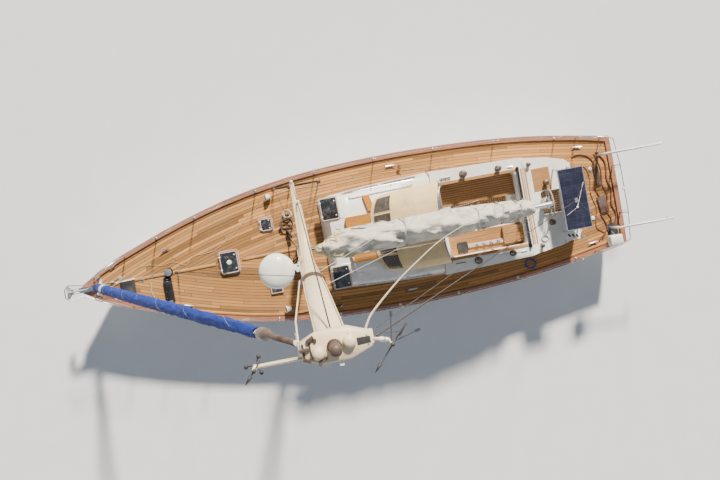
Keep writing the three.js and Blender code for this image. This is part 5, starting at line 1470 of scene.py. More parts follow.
def shackle_block(shape, at, aim, size=0.045, mark=0):
    """A single block: two cheeks, a sheave and its shackle, hanging along the aim."""
    at, aim = Vector(at), Vector(aim).normalized()
    side = aim.cross(Vector((1, 0.3, 0))).normalized()
    for s in (-1, 1):
        shape.lathe("cheek", at + aim * size * 0.6 + side * s * size * 0.28, side * s, mark=mark, wide=size)
    shape.lathe("sheave", at + aim * size * 0.6 - side * size * 0.12, side, mark=mark, wide=size, high=size)
    foot, reach = at - aim * size * 0.2, side * size * 0.2
    shape.tube([foot + reach, at - aim * size * 0.45, foot - reach], size * 0.07, 6, mark)


def turnbuckle(shape, foot, aim, size=0.011):
    """Bottle screw with toggle, barrel and studs along a shroud's foot."""
    foot, aim = Vector(foot), Vector(aim).normalized()
    for low, high, r in SCREW_PARTS:
        shape.lathe([(0, low), (size * r, low + 0.003), (size * r, high - 0.003), (0, high)], foot, aim, 10)
    shape.lathe("toggle_pin", foot + aim * 0.02, aim.orthogonal())


class SLOOP_OT_mast_fittings(bpy.types.Operator):
    """Adds the mast's sail track, halyards, winches, cleats, collars, lights and masthead fittings"""

    bl_idname = "sloop.mast_fittings"
    bl_label = "Mast fittings"

    def execute(self, context):
        rope_width = sizes().halyard
        steel, dark, white, cream, collar = shapes(5)
        dark.tube([mast_side(math.pi, z, 0.002) for z in spread(3.05, 18.4, 60)], 0.011, 6)
        for angle, low in HALYARD_RUNS:
            run = [mast_side(angle, z, 0.012) for z in spread(low, 18.3, 30)]
            (dark if angle > 0 else cream).tube(run, rope_width * 0.4, 6)
        for z, angle in MAST_WINCHES:
            steel.lathe("mast_winch", mast_side(angle, z, -0.004), mast_out(angle, z))
        for z, angle in MAST_CLEATS:
            at, out = mast_side(angle, z, 0.018), mast_out(angle, z)
            steel.block(at - out * 0.008, (0.03, 0.03, 0.05), turn=angle, bevel=0.004)
            steel.tube([at + out * off + up(rise) for off, rise in ((0, -0.085), (0.012, -0.04), (0.008, 0),
                                                                    (0.012, 0.04), (0, 0.085))], 0.008, 8)
        for low, high, off in COLLARS:
            collar.loft([[mast_side(a, z, d) for a in turns(36)] for z, d in
                         ((low, 0.0), (low, off), (high, off), (high, 0.0))])
        for x, y, turn in CRANE_STUDS:
            collar.block((x, y, 18.722), (0.055, 0.022, 0.026), turn=turn, bevel=0.005)
            collar.lathe("crane_stud", (x - 0.03, y * 0.8, 18.71))
        # Two dark blocks on the radar bracket: painted shade in its slots.
        for y in (-0.03, 0.03):
            dark.block((1.505, y, 9.18), (0.05, 0.014, 0.02), bevel=0.003)
        for x, y in ((MAST_X + 0.11, 0.028), (MAST_X - 0.10, -0.012)):
            cream.lathe("crane_dome", (x, y, CRANE_PLATE))
        for x in (MAST_X - 0.03, MAST_X + 0.06):
            white.block((x, 0.108, 18.66), (0.03, 0.066, 0.05), bevel=0.005)
        # Two dark strips on the crane: painted shade in its sheave slots.
        for x in (1.50, 1.545):
            dark.block((x, 0, 18.711), (0.012, 0.1, 0.006))
        dark.slab([(1.10, -0.022), (1.19, -0.026), (1.19, 0.026), (1.10, 0.022)], CRANE_TOP,
                  CRANE_TOP + 0.002)
        for x, y in CRANE_RIVETS:
            steel.lathe("rivet", (x, y, CRANE_TOP))
        dark.tube([(1.0, -0.02, 18.69), (0.97, -0.03, 18.8), (0.93, -0.05, 18.97)], 0.0025, 5)
        for side in (-1, 1):
            a = math.radians(48 + 180 + side * 33)
            tab, run = Vector((0.98, 0.03, 18.842)), ring_point(a, 1)
            dark.tube([tab, tab + run * 0.17], 0.003, 5)
            dark.block(tab + run * 0.185, (0.035, 0.018, 0.002), turn=a)
        white.lathe("whip_foot", (1.04, 0.015, 18.682), (-1, 0.3, 0))
        for run, y in FORE_HALYARDS:
            cream.tube([(1.555, y, 18.60), (1.575, y * 1.2, 18.2), *run], rope_width * 0.6, 8)
        low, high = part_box("masthead_light")
        mid = (low + high) / 2
        steel.lathe("light_ring", (mid.x, mid.y, low.z + 0.003))
        dark.tube([(mid.x - 0.05, 0.03, low.z + 0.01), (1.29, 0.07, 18.6), mast_side(2.0, 18.4, 0.006)],
                  0.004, 5)
        for z, reach in SPREADERS.values():
            for side in (1, -1):
                white.lathe("spreader_boot", (MAST_X, side * reach, z))
        steaming = mast_side(0, 9.75, 0.04)
        white.block(steaming, (0.07, 0.07, 0.1), bevel=0.012)
        dark.lathe("deck_lamp", steaming - up(0.08), (0.2, 0, -1))
        collar.make("mast_collars", "brown_plastic", "brown_plastic", 40)
        steel.make("mast_winches", "steel", "stainless", 40)
        dark.make("mast_track_and_wires", "black_plastic", "dark_metal", 50)
        white.make("mast_blocks", "white_plastic", "white_plastic", 40)
        cream.make("mast_halyards", "spar", "spar_paint", 60)
        return {"FINISHED"}


class SLOOP_OT_running_rigging(bpy.types.Operator):
    """Rigs the lazy jacks, topping lift, mainsheet, vang and reefing lines"""

    bl_idname = "sloop.running_rigging"
    bl_label = "Running rigging"

    def execute(self, context):
        s = sizes()
        jacks, lift, sheet_blocks, falls, car, vang, reef = shapes(7)
        for side in (1, -1):
            top = mast_side(side * 1.9, 12.94, 0.02)
            split = Vector((-0.61, side * 0.24, 5.2))
            jacks.tube([top, split], s.small_line * 0.5, 5)
            for x in (0.1, -1.4, -2.9):
                out, foot = (x, side * (s.sail_flake / 2 + 0.09), 3.02), (x, side * 0.062, 2.93)
                jacks.tube([split, out, foot], s.small_line * 0.42, 5)
            shackle_block(jacks, split, (0.3, 0, 1), 0.03)
        fall = jacks.make("lazy_jacks", "white_rope", "stainless", 70, body=None)
        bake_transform(fall)
        lift.tube([(1.03, -0.03, 18.45), (-4.62, -0.03, 3.06)], 0.0035, 5)
        lift_obj = lift.make("topping_lift", "wire", "stainless", 70, body=None)
        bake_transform(lift_obj)
        for boom_x, car_y in ((-3.92, -0.07), (-4.06, 0.07), (-4.2, 0.0)):
            shackle_block(sheet_blocks, (boom_x, 0.0, 2.80), (0, 0, -1), 0.06)
            falls.tube([(boom_x, 0.0, 2.73), (-4.212, car_y, 2.02)], s.halyard * 0.45, 6)
        ends = falls.make("mainsheet_falls", "white_rope", "stainless", 70, body=None)
        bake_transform(ends)
        sheet_blocks.make("mainsheet_boom_blocks", "black_metal", "dark_metal", body="boom")
        car.block((-4.212, 0, 1.947), (0.085, 0.19, 0.022), bevel=0.005)
        for y in (-0.07, 0.0, 0.07):
            shackle_block(car, (-4.212, y, 1.96), UP, 0.05)
        car.make("traveller_car", "black_metal", "dark_metal")
        low, high = Vector((1.19, 0, 1.98)), Vector((0.05, 0, 2.80))
        joint = low.lerp(high, 0.55)
        vang.tube([low, joint], 0.02, 12)
        vang.tube([joint, high], 0.013, 10)
        rod = vang.make("vang", "alloy", "alloy", 60, body=None)
        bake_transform(rod)
        for x, top in ((-3.2, 3.25), (-3.85, 3.18)):
            for side in (1, -1):
                reef.tube([(x - 0.25, side * 0.03, 2.86), (x - 0.16, side * 0.27, 2.92),
                           (x, side * 0.20, top), (x + 0.02, 0, top + 0.03)], s.halyard * 0.4, 6)
        end = Vector((BOOM_END, 0, 2.9))
        for y in (-0.025, 0.025):
            reef.tube([end + Vector((0.1, y, 0.04)), end + Vector((0.7, y * 2, 0.13)), (-3.7, y * 3, 3.20)],
                      s.halyard * 0.38, 6)
        reef.make("reefing_lines", "white_rope", "stainless", 70, "boom")
        return {"FINISHED"}


SHROUD_FEET = (0.6, 1.34, 1.79)


class SLOOP_OT_standing_rigging(bpy.types.Operator):
    """Adds chain plates, bottle screws, stanchion bases and the sleeve at the forestay's top"""

    bl_idname = "sloop.standing_rigging"
    bl_label = "Rigging terminals"

    def execute(self, context):
        steel, white = shapes(2)
        for node, side in (("shrouds_port", 1), ("shrouds_starboard", -1)):
            points = [v.co for v in NODES[node].data.vertices]
            for x in SHROUD_FEET:
                near = [p for p in points if abs(p.x - x) < 0.06 and p.z < 1.5]
                if not near:
                    continue
                foot = sum(near, Vector()) / len(near)
                foot.z = max(foot.z, top_of(foot.x, foot.y) + 0.03)
                higher = [p for p in points if 1.9 < p.z and (p - foot).length > 0.5]
                upright = Vector((0, -side * 0.05, 1))
                aim = min(higher, key=lambda p: (p - foot).length) - foot if higher else upright
                steel.block(foot - up(0.015), (0.09, 0.006, 0.09), bevel=0.002)
                turnbuckle(steel, foot, aim)
        for side in (1, -1):
            for x in STANCHIONS:
                at = rail_point(x, side, 0)
                steel.lathe("stanchion_base", at)
                for a in turns(4):
                    steel.lathe("base_screw", at + ring_point(a + 0.78, 0.026, 0.006))
        steel.make("chain_plates_and_bases", "steel", "stainless", 40)
        white.lathe("stay_sleeve", stay_point(0.985), (-0.28, 0, 0.96))
        white.make("stay_top_sleeve", "white_plastic", "white_plastic")
        return {"FINISHED"}


def coil(shape, at, radius, rope, rounds, loose=0.25, seed=0, mark=0, upright=None):
    """Rope coil: rounds that wander a little and lie over one another, flat or hanging along an axis."""
    path = []
    turn = UP.rotation_difference(Vector(upright)) if upright else None
    for i in range(rounds * 16 + 1):
        a = i / 16 * 2 * math.pi
        r = radius * (1 + loose * wobble(math.cos(a) * 0.7, math.sin(a) * 0.7, i * 0.03, seed))
        rise = rope * (0.5 + 0.62 * i / 16 * (1 - 0.3 * (i % 3 == 0)))
        p = Vector((r * math.cos(a), r * math.sin(a) * 0.9, rise))
        path.append(Vector(at) + (turn @ p if turn else p))
    shape.tube(path, rope / 2, 7, mark)


DECK_CLEATS = ((4.65, -0.575, 0.35), (4.30, 0.86, -0.3), (-5.95, -1.23, -0.12), (-5.95, 1.23, 0.12),
               (-1.2, 1.52, 0.03), (-1.2, -1.62, -0.03))                      # x, y, turn
DECK_FILLERS = ((5.07, -0.02), (5.30, 0.05), (5.02, 0.86), (-5.75, 1.05))
LOCKER_LID = ((5.87, -0.025), (5.48, -0.01), (5.50, 0.36), (5.86, 0.23))
WINDLASS_TOP = Vector((4.64, -0.045, 1.69))
CHAIN_ENDS = ((6.60, -0.012, 1.742), (6.42, -0.03, 1.705), (6.27, -0.05, 1.62), (6.14, -0.062, 1.545))
CHAIN_PIPE = (5.80, -0.12)
ANCHOR_LASHING = ((6.52, 0.05, 1.80), (6.50, -0.06, 1.78), (6.44, -0.05, 1.72), (6.42, 0.06, 1.74),
                  (6.50, 0.07, 1.80), (6.53, -0.04, 1.79), (6.40, -0.03, 1.73), (6.36, 0.10, 1.60),
                  (6.24, 0.14, 1.565))
# Coils at the mast: place, radius, the rope's thickness, rounds, looseness, seed, finish, axis
COILS = (((1.60, -0.66, 1.47), 0.15, 0.026, 4, 0.5, 0, 0, None),
         ((1.56, -0.42, 1.50), 0.10, 0.026, 3, 0.5, 1, 0, (0.9, 0.2, 0.3)),
         ((1.50, 0.34, 1.44), 0.14, 0.020, 4, 0.5, 2, 0, None))
# Rope falls at the mast: y there, y on deck, upper end
MAST_FALLS = ((-0.08, -0.64, 2.1), (-0.1, -0.46, 1.9), (0.09, 0.30, 1.9))


class SLOOP_OT_foredeck(bpy.types.Operator):
    """Fits the bow gear: windlass parts, chain, cleats, locker lid, fillers, vents, ropes and hatch trims"""

    bl_idname = "sloop.foredeck"
    bl_label = "Foredeck gear"

    def execute(self, context):
        steel, dark, white, ropes, wood, coils = shapes(6)
        for x, y, turn in DECK_CLEATS:
            foot = top_of(x, y)
            steel.cleat((x, y, foot), turn, 0.26)
            wood.slab([(x + 0.11 * math.cos(turn + a) * (1 + 0.35 * abs(math.cos(a))),
                        y + 0.045 * math.sin(turn + a))
                       for a in turns(14)], foot - 0.002, foot + 0.006)
        steel.lathe("windlass_cap", WINDLASS_TOP)
        for a in turns(8):
            steel.block(WINDLASS_TOP + ring_point(a, 0.075, 0.021), (0.03, 0.008, 0.008), turn=a)
        for y, r in ((0.12, 0.075), (0.66, 0.085)):
            steel.lathe("warping_end", (4.705, y, 1.545), (0, 1, 0), wide=r)
        steel.block((4.705, 0.70, 1.612), (0.11, 0.09, 0.012), bevel=0.004)
        for y in (0.2, 0.42, 0.58):
            for x in (4.64, 4.77):
                steel.lathe("screw", (x, y, 1.612))
        for x, y in DECK_FILLERS:
            steel.lathe("filler", on_top(x, y))
            # A dark sliver in each filler cap: painted shade in its key slot.
            dark.block(on_top(x, y, 0.0045), (0.03, 0.006, 0.002), turn=0.6)
        dark.slab(LOCKER_LID, lambda x, y: top_of(x, y) - 0.002, lambda x, y: top_of(x, y) + 0.005)
        wood.tube([on_top(x, y, 0.006) for x, y in LOCKER_LID + LOCKER_LID[:1]], 0.012, 6)
        white.block(on_top(5.70, -0.03, 0.012), (0.46, 0.03, 0.016), turn=0.04, bevel=0.004)
        pad = Vector((4.43, 0, top_of(4.43, 0.1) + 0.02))
        turnbuckle(steel, pad, Vector((1.467, 0, 11.5)) - pad, 0.0105)
        for side in (1, -1):
            for x, y in ((6.35, 0.2), (5.95, 0.4)):
                at = on_top(x, side * y)
                steel.block(at + up(0.012), (0.16, 0.03, 0.02), turn=-side * 0.62, bevel=0.006)
                for k in (-1, 1):
                    steel.tube([at + Vector((k * along, -side * k * across, rise)) for along, across, rise in
                                ((0.06, 0.04, 0.01), (0.055, 0.037, 0.055), (0.015, 0.01, 0.062))], 0.011, 8)
        steel.make("deck_cleats_and_fillers", "steel", "stainless", 40)
        dark.make("locker_lid", "black_plastic", "dark_metal", 40)
        wood.make("cleat_pads", "rail", "rail_wood", 40)
        chain = curve_through([*CHAIN_ENDS, on_top(6.0, -0.08, 0.012), on_top(*CHAIN_PIPE, 0.012)], 60)
        repeat_along("anchor_chain", [chain], "link", 0.027, (0.045, 0.045, 0.045), "galvanised",
                     twist=math.pi / 2)
        white.lathe("chain_pipe", on_top(*CHAIN_PIPE))
        for side in (-1, 1):
            foot = on_top(1.91, side * 1.40)
            bend = ((0, 0), (0, 0.1), (0.03, 0.15), (0.09, 0.17))
            horn = curve_through([foot + Vector((x, 0, z)) for x, z in bend], 16)
            white.tube(horn, [lerp(0.045, 0.085, (i / 15) ** 2) for i in range(16)], 18)
            # Dark disc across each cowl's mouth: painted shade inside the opening.
            ropes.lathe("vent_mouth", horn[-1] + Vector((0.002, 0, 0)), (1, 0, 0.1), mark=1)
        spare = [on_top(x, y, 0.012) for x, y in ((5.09, 0.52), (5.14, 0.36), (5.11, 0.2), (5.12, 0.08))]
        ropes.tube(curve_through(spare, 30), 0.010, 8)
        ropes.tube(curve_through(ANCHOR_LASHING, 60), 0.006, 6, 2)
        for x, y, turn in ((6.24, 0.15, 0.4), (6.37, 0.13, 0.9), (6.01, -0.06, 0.1)):
            white.block(on_top(x, y, 0.02), (0.09, 0.035, 0.03), turn=turn, bevel=0.008)
        ropes.make("bow_ropes", "line black_plastic blue_rope", "rope", 80)
        white.make("bow_fittings", "white_plastic", "white_plastic", 45)
        for row in COILS:
            coil(coils, *row)
        for y0, y1, z0 in MAST_FALLS:
            fall = [(1.47, y0, z0), (1.58, lerp(y0, y1, 0.45), 1.62), (1.60, lerp(y0, y1, 0.8), 1.5),
                    (1.62, y1, 1.47)]
            coils.tube(curve_through(fall, 24), 0.012, 7)
        coil(coils, (1.55, -0.90, 1.46), 0.10, 0.018, 4, 0.5, 6, 1)
        coil(coils, on_top(-4.28, 1.46, 0.004), 0.13, 0.016, 4, 0.4, 9, 2)
        shackle_block(coils, (-1.40, -1.60, 1.415), (0, 1, 0.1), 0.08, 3)
        tail = [(-1.40, -1.60, 1.43), (-1.42, -1.50, 1.40), on_top(-1.37, -1.42, 0.01),
                on_top(-1.42, -1.35, 0.01)]
        coils.tube(curve_through(tail, 20), 0.012, 7, 3)
        coils.make("deck_rope_coils", "dark_rope white_rope blue_rope hose", "rope", 80)
        for name, (x0, x1, y, half) in HATCHES.items():
            lid_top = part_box(name)[1].z
            rim, knobs = shapes(2)
            rim.border(x0 + 0.026, x1 - 0.026, y - half + 0.026, y + half - 0.026, 0.022, lid_top - 0.004,
                       lid_top + 0.003, corner=0.035)
            for k in (-1, 1):
                knobs.lathe("hatch_knob", (x0 + 0.075, y + k * half * 0.62, lid_top))
                knobs.block((x1 - 0.012, y + k * half * 0.6, lid_top + 0.001), (0.05, 0.03, 0.008),
                            bevel=0.003)
            if name == "fore_hatch":
                knobs.lathe("hatch_vent", ((x0 + x1) / 2, y, lid_top))
            rim.make(name + "_rim", "frame", "white_plastic", body=name)
            knobs.make(name + "_knobs", "white_plastic", "white_plastic", body=name)
        return {"FINISHED"}


HOUSE = tree_of("coachroof")
PORTS = ((-0.317, 0.12), (-0.767, -0.33), (-1.364, -0.88), (-1.712, -1.40))     # aft and forward end of each
PORT_SILL, PORT_HEAD = 1.54, 1.70
BELOW_PORTS, ABOVE_PORTS = 1.505, 1.735
ROOF = 1.96                # the deckhouse's top is looked for from this height down
# Panels of non-skid: aft and forward end, starboard and port side
PANELS = ((0.24, 0.54, -0.44, 0.44), (-2.0, -1.3, 1.03, 1.14), (-2.0, -1.3, -1.14, -1.03))
RAIL_BEND = ((-0.04, 1.13, 1.94), (-0.10, 1.135, 1.985), (-0.8, 1.16, 1.99), (-1.55, 1.165, 1.985),
             (-1.62, 1.165, 1.94))


def house_side(x, z, side, off=0.0):
    """Point off the deckhouse wall; over a window it lies between the wall below and above it."""
    walls = []
    for level in (BELOW_PORTS, ABOVE_PORTS):
        hit = HOUSE.ray_cast(Vector((x, side * 3.0, level)), Vector((0, -side, 0)))[0]
        walls.append(hit.y if hit else side * 1.2)
    return Vector((x, lerp(*walls, (z - BELOW_PORTS) / (ABOVE_PORTS - BELOW_PORTS)) + side * off, z))


class SLOOP_OT_roof(bpy.types.Operator):
    """Fits the deckhouse: portlights, handrails, slide rails, non-skid panels, hood board, vents and dials"""

    bl_idname = "sloop.roof"
    bl_label = "Deckhouse fittings"

    def execute(self, context):
        panes, frames, steel, boards, white, dark, batten = shapes(7)
        screws = []
        for side in (1, -1):
            for x0, x1 in PORTS:
                outline = rounded(x0, x1, PORT_SILL, PORT_HEAD, 0.055, 6)
                wide = rounded(x0 - 0.022, x1 + 0.022, PORT_SILL - 0.022, PORT_HEAD + 0.022, 0.07, 6)
                panes.loft([[house_side(x, z, side, off) for x, z in outline] for off in (-0.016, -0.008)])
                frames.loft([[house_side(*a, side, -0.004), house_side(*a, side, 0.005),
                              house_side(*b, side, 0.005), house_side(*b, side, -0.002)]
                             for a, b in zip(outline, wide)], closed=True)
                middle = [((a[0] + b[0]) / 2, (a[1] + b[1]) / 2) for a, b in zip(outline, wide)]
                screws.append([house_side(x, z, side, 0.006) for x, z in middle + middle[:1]])
            steel.tube(curve_through([(x, side * y, z) for x, y, z in RAIL_BEND], 40), 0.0125, 8)
            for x in (-0.08, -0.58, -1.08, -1.58):
                steel.lathe("rail_foot", on_top(x, side * lerp(1.13, 1.165, (-x) / 1.6), -0.002))
            for x in (-0.62, -0.76):
                dark.lathe("dial", (x, side * 0.47, 2.044))
        boards.slab([(-0.33, -1.0), (-0.49, -1.0), (-0.56, -0.62), (-0.40, -0.62)],
                    lambda x, y: top_of(x, y, ROOF) - 0.002, lambda x, y: top_of(x, y, ROOF) + 0.085)
        for y in (-0.46, -0.23, 0.0, 0.23, 0.46):
            steel.tube([(0.16, y, 2.046), (-1.15, y, 2.046)], 0.006, 6)
        for x0, x1, y0, y1 in PANELS:
            white.patch([[on_top(x, y, 0.0025, ROOF) for y in spread(y0, y1, 9)] for x in spread(x0, x1, 9)],
                        mark=1)
        white.tube([(0.17, 0.42, 2.062), on_top(0.12, 1.10, 0.022)], 0.019, 10)
        # White slab on the port side of the roof: painted light, a patch of sunlight that falls there between
        # the shadows of the mast and the sail.
        white.slab([(0.14, 0.79), (0.17, 1.16), (-0.11, 1.22), (-0.17, 0.94)],
                   lambda x, y: top_of(x, y, ROOF) + 0.002,
                   lambda x, y: top_of(x, y, ROOF) + 0.03 + 0.008 * wobble(x * 9, y * 9))
        for y in (-0.36, 0.36):
            white.lathe("roof_vent", (0.45, y, top_of(0.66, y, ROOF)))
        panes.make("portlight_panes", "dark_glass", "dark_glass", 40)
        frames.make("portlight_frames", "steel", "stainless", 40)
        repeat_along("portlight_screws", screws, "bar", 0.085, (0.008, 0.008, 0.008), "steel")
        steel.make("handrails_and_strips", "steel", "stainless", 40)
        boards.make("hood_boards", "varnish", "varnish", 30)
        dark.make("hatch_dials", "black_plastic", "dark_metal", 40)
        white.make("roof_panels", "white_plastic non_skid", "white_plastic", 40)
        batten.tube([(0.50, -0.35, 2.99), (-0.22, -0.25, 3.04)], 0.011, 8)
        batten.make("reefing_strut", "black_plastic", "dark_metal", body="boom")
        return {"FINISHED"}


def winch(drums, dark, at, r, high):
    """Sheet winch: ribbed drum, crown and handle socket."""
    drums.lathe([(0, 0), (r, 0), (r, 0.012), (r * 0.8, 0.03), (r * 0.62, 0.05), (r * 0.58, high * 0.62),
                 (r * 0.74, high * 0.72), (r * 0.84, high * 0.76), (r * 0.84, high * 0.8),
                 (r * 0.66, high * 0.83), (r * 0.84, high * 0.87), (r * 0.84, high * 0.93), (r * 0.5, high),
                 (0, high)], at, sides=28)
    # Dark disc at the crown's middle: painted shade in the handle socket.
    dark.lathe("winch_key", at + up(high), wide=r)
    for a in turns(14):
        drums.block(at + ring_point(a, r * 0.6, high * 0.4), (0.006, 0.006, high * 0.38), turn=a)


COAMING = 2.0              # the top of the cockpit's sides is looked for from this height down
# Rows of wooden bars: name, their paths, spacing, size of a bar, finish
SLATTING = (
    ("seat_slats", [[(-3.195, side * y, 1.468) for y in (0.385, 0.885)] for side in (1, -1)], 0.0555,
     (1.90, 0.014, 0.049), "teak_trim"),
    ("grating_long_bars", [[(-3.26, -0.33, 0.893), (-3.26, 0.33, 0.893)]], 0.055, (1.50, 0.022, 0.022),
     "teak_trim"),
    ("grating_cross_bars", [[(-4.0, 0, 0.897), (-2.52, 0, 0.897)]], 0.055, (0.66, 0.022, 0.022),
     "teak_across"),
    ("helm_grating", [[(-5.015, -0.262, 1.192), (-5.015, 0.262, 1.192)]], 0.0525, (0.58, 0.02, 0.034),
     "teak_trim"),
    ("helm_seat_slats", [[(-4.79, y, top_of(-4.79, -0.6, 1.95) + 0.008) for y in (-0.86, -0.35)]], 0.0555,
     (0.44, 0.014, 0.049), "teak_trim"),
)
WHEEL_RIM, RIM_COVER = 0.33, 0.0172


class SLOOP_OT_cockpit(bpy.types.Operator):
    """Fits the cockpit: slatted seats, gratings, coaming caps, winches, clutches, binnacle and wheel cover"""

    bl_idname = "sloop.cockpit"
    bl_label = "Cockpit"

    def execute(self, context):
        steel, dark, wood, white, ropes, drums, cover = shapes(7)
        for name, paths, spacing, size, finish in SLATTING:
            repeat_along(name, paths, "bar", spacing, size, finish)
        for side in (1, -1):
            wood.slab([(-2.18, side * 0.905), (-4.20, side * 0.905), (-4.20, side * 0.972),
                       (-2.18, side * 0.972)], 1.859, 1.874)
            for x in (-2.30, -3.30, -4.02):
                wood.block((x, side * 0.897, 1.67), (0.05, 0.012, 0.30), bevel=0.003)
        wood.slab([(-2.16, -0.86), (-2.225, -0.86), (-2.225, 0.86), (-2.16, 0.86)],
                  lambda x, y: top_of(x, y, 1.8),
                  lambda x, y: top_of(x, y, 1.8) + 0.012)
        for x, mark in ((-4.30, 1), (-4.36, 0), (-4.42, 1)):
            wood.block((x, 0, top_of(x, 0.6, 1.95) + 0.006), (0.028, 1.9, 0.012), mark=mark)
        wood.block((-3.95, 0.61, 1.545), (0.60, 0.42, 0.13), bevel=0.008)
        for y in spread(0.44, 0.78, 6):
            dark.block((-3.95, y, 1.6105), (0.56, 0.006, 0.002))
        dark.block((-2.60, 0.72, 1.50), (0.24, 0.26, 0.05), bevel=0.008)
        white.block((-3.36, 0.72, 1.505), (1.25, 0.10, 0.05), turn=-0.03, bevel=0.01, mark=1)
        for i, x in enumerate(spread(-2.95, -3.85, 6)):
            steel.block((x, 0.72, 1.542), (0.05, 0.055, 0.03), turn=i * 0.3, bevel=0.006)
            dark.block((x - 0.04, 0.75, 1.54), (0.02, 0.03, 0.025), turn=i)
        for node in (rank + "_winch_" + side for rank in ("primary", "secondary")
                     for side in ("port", "starboard")):
            low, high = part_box(node)
            mid, r = (low + high) / 2, (high.x - low.x) / 2
            top = Vector((mid.x, mid.y, high.z))
            drums.lathe("winch_top", top, wide=r)
            dark.lathe("winch_jaws", top, wide=r)
            # Dark cone at the crown's middle: painted shade in the handle socket.
            dark.lathe("winch_socket", top)
            steel.tube([top + up(0.008), top + Vector((r * 0.95, 0, 0.008))], 0.008, 6)
            for n in range(3):
                foot = Vector((mid.x, mid.y, low.z + 0.06 + n * 0.013))
                ropes.tube([foot + ring_point(a, r * 0.66, a * 0.002) for a in spread(0, 2 * math.pi, 28)],
                           0.0065, 7)
        for side in (1, -1):
            winch(drums, dark, on_top(-4.87, side * 0.50, -0.001, COAMING), 0.075, 0.15)
            winch(drums, dark, on_top(-4.52, side * 1.02, -0.001, COAMING), 0.055, 0.12)
            steel.cleat(on_top(-4.05, side * 1.05, 0, COAMING), 0.1 * side, 0.17)
            for n in range(3):
                clutch = on_top(-2.32 - n * 0.09, side * 1.06, 0, 1.95)
                white.block(clutch + up(0.02), (0.075, 0.045, 0.045), bevel=0.01)
                dark.block(clutch + Vector((-0.01, 0, 0.048)), (0.08, 0.016, 0.01), lean=0.25)
        tail = [(-2.86, 0.95, 1.94), (-3.3, 1.02, 1.88), (-3.7, 1.06, 1.875), (-4.05, 1.06, 1.88)]
        ropes.tube(curve_through(tail, 30), 0.006, 7)
        coil(ropes, on_top(-4.62, 0.86, 0, COAMING), 0.085, 0.012, 4, 0.4, 5)
        white.patch([[on_top(x, y, 0.003, COAMING) for y in spread(0.62, 1.08, 7)]
                     for x in spread(-5.5, -4.62, 12)],
                    mark=2)
        board = on_top(-5.33, 0.92, 0.012, COAMING)
        white.block(board, (0.36, 0.16, 0.024), turn=-0.2, bevel=0.006)
        for k in (-0.1, 0.0, 0.1):
            dark.block(board + Vector((k, -k * 0.2, 0.0125)), (0.045, 0.09, 0.002), turn=0.5 + k)
        low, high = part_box("helm_pedestal")
        mid = (low + high) / 2
        bowl = Vector((mid.x + 0.024, mid.y, high.z - 0.002))
        dark.lathe("compass_bowl", bowl)
        white.lathe("compass_dome", bowl, mark=3)
        guard = ((-0.13, 1.80), (-0.135, 2.1), (-0.09, 2.24), (0.09, 2.24), (0.135, 2.1), (0.13, 1.80))
        steel.tube(curve_through([(mid.x, y, z) for y, z in guard], 40), 0.0125, 8)
        hub = Vector(JOINTS["wheel_turn"]["pos_m"])
        loop = []
        for a in turns(72):
            out = Vector((0, math.cos(a), math.sin(a)))
            loop.append([hub + out * (WHEEL_RIM + RIM_COVER * math.cos(b))
                         + Vector((RIM_COVER * math.sin(b), 0, 0)) for b in turns(10)])
        cover.loft(loop, closed=True)
        cover.make("wheel_leather", "hide", "dark_metal", 60, "helm_wheel")
        seam = [hub + Vector((0.0165, 0.325 * math.cos(a), 0.325 * math.sin(a)))
                for a in spread(0, 2 * math.pi, 90)]
        repeat_along("wheel_stitches", [seam], "bar", 0.012, (0.002, 0.0025, 0.007), "white_rope",
                     "helm_wheel")
        drums.make("winch_tops", "winch", "stainless", 40)
        steel.make("cockpit_fittings", "steel", "stainless", 40)
        dark.make("cockpit_dark_fittings", "black_plastic", "dark_metal", 40)
        wood.make("cockpit_joinery", "teak_trim teak_across", "teak", 30)
        white.make("cockpit_panels", "white_plastic frame non_skid dark_glass", "white_plastic", 40)
        ropes.make("cockpit_ropes", "white_rope", "rope", 80)
        return {"FINISHED"}


# Hoses on the aft deck: radius, places in plan
HOSES = (
    (0.018, [(-5.78, -1.0), (-6.02, -1.02), (-6.28, -0.84), (-6.31, -0.46), (-6.24, -0.12), (-6.33, 0.2),
             (-6.28, 0.55), (-6.38, 0.9), (-6.22, 1.18)]),
    (0.020, [(-6.42, -1.02), (-6.60, -0.72), (-6.57, -0.3), (-6.63, 0.0), (-6.58, 0.36), (-6.66, 0.62),
             (-6.55, 0.98)]),
    (0.013, [(-6.36, -0.98), (-6.46, -0.6), (-6.43, -0.2), (-6.50, 0.12), (-6.44, 0.5), (-6.50, 0.8),
             (-6.12, 1.22)]),
    (0.010, [(-5.82, -0.62), (-6.05, -0.7), (-6.14, -0.4), (-6.10, 0.0), (-6.18, 0.4), (-6.10, 0.85),
             (-6.3, 1.05)]),
)
AFT_DECK = 1.5             # the aft deck is looked for from this height down
BACKSTAY_PLATE = Vector((-5.05, 0, 3.50))      # where the backstay divides


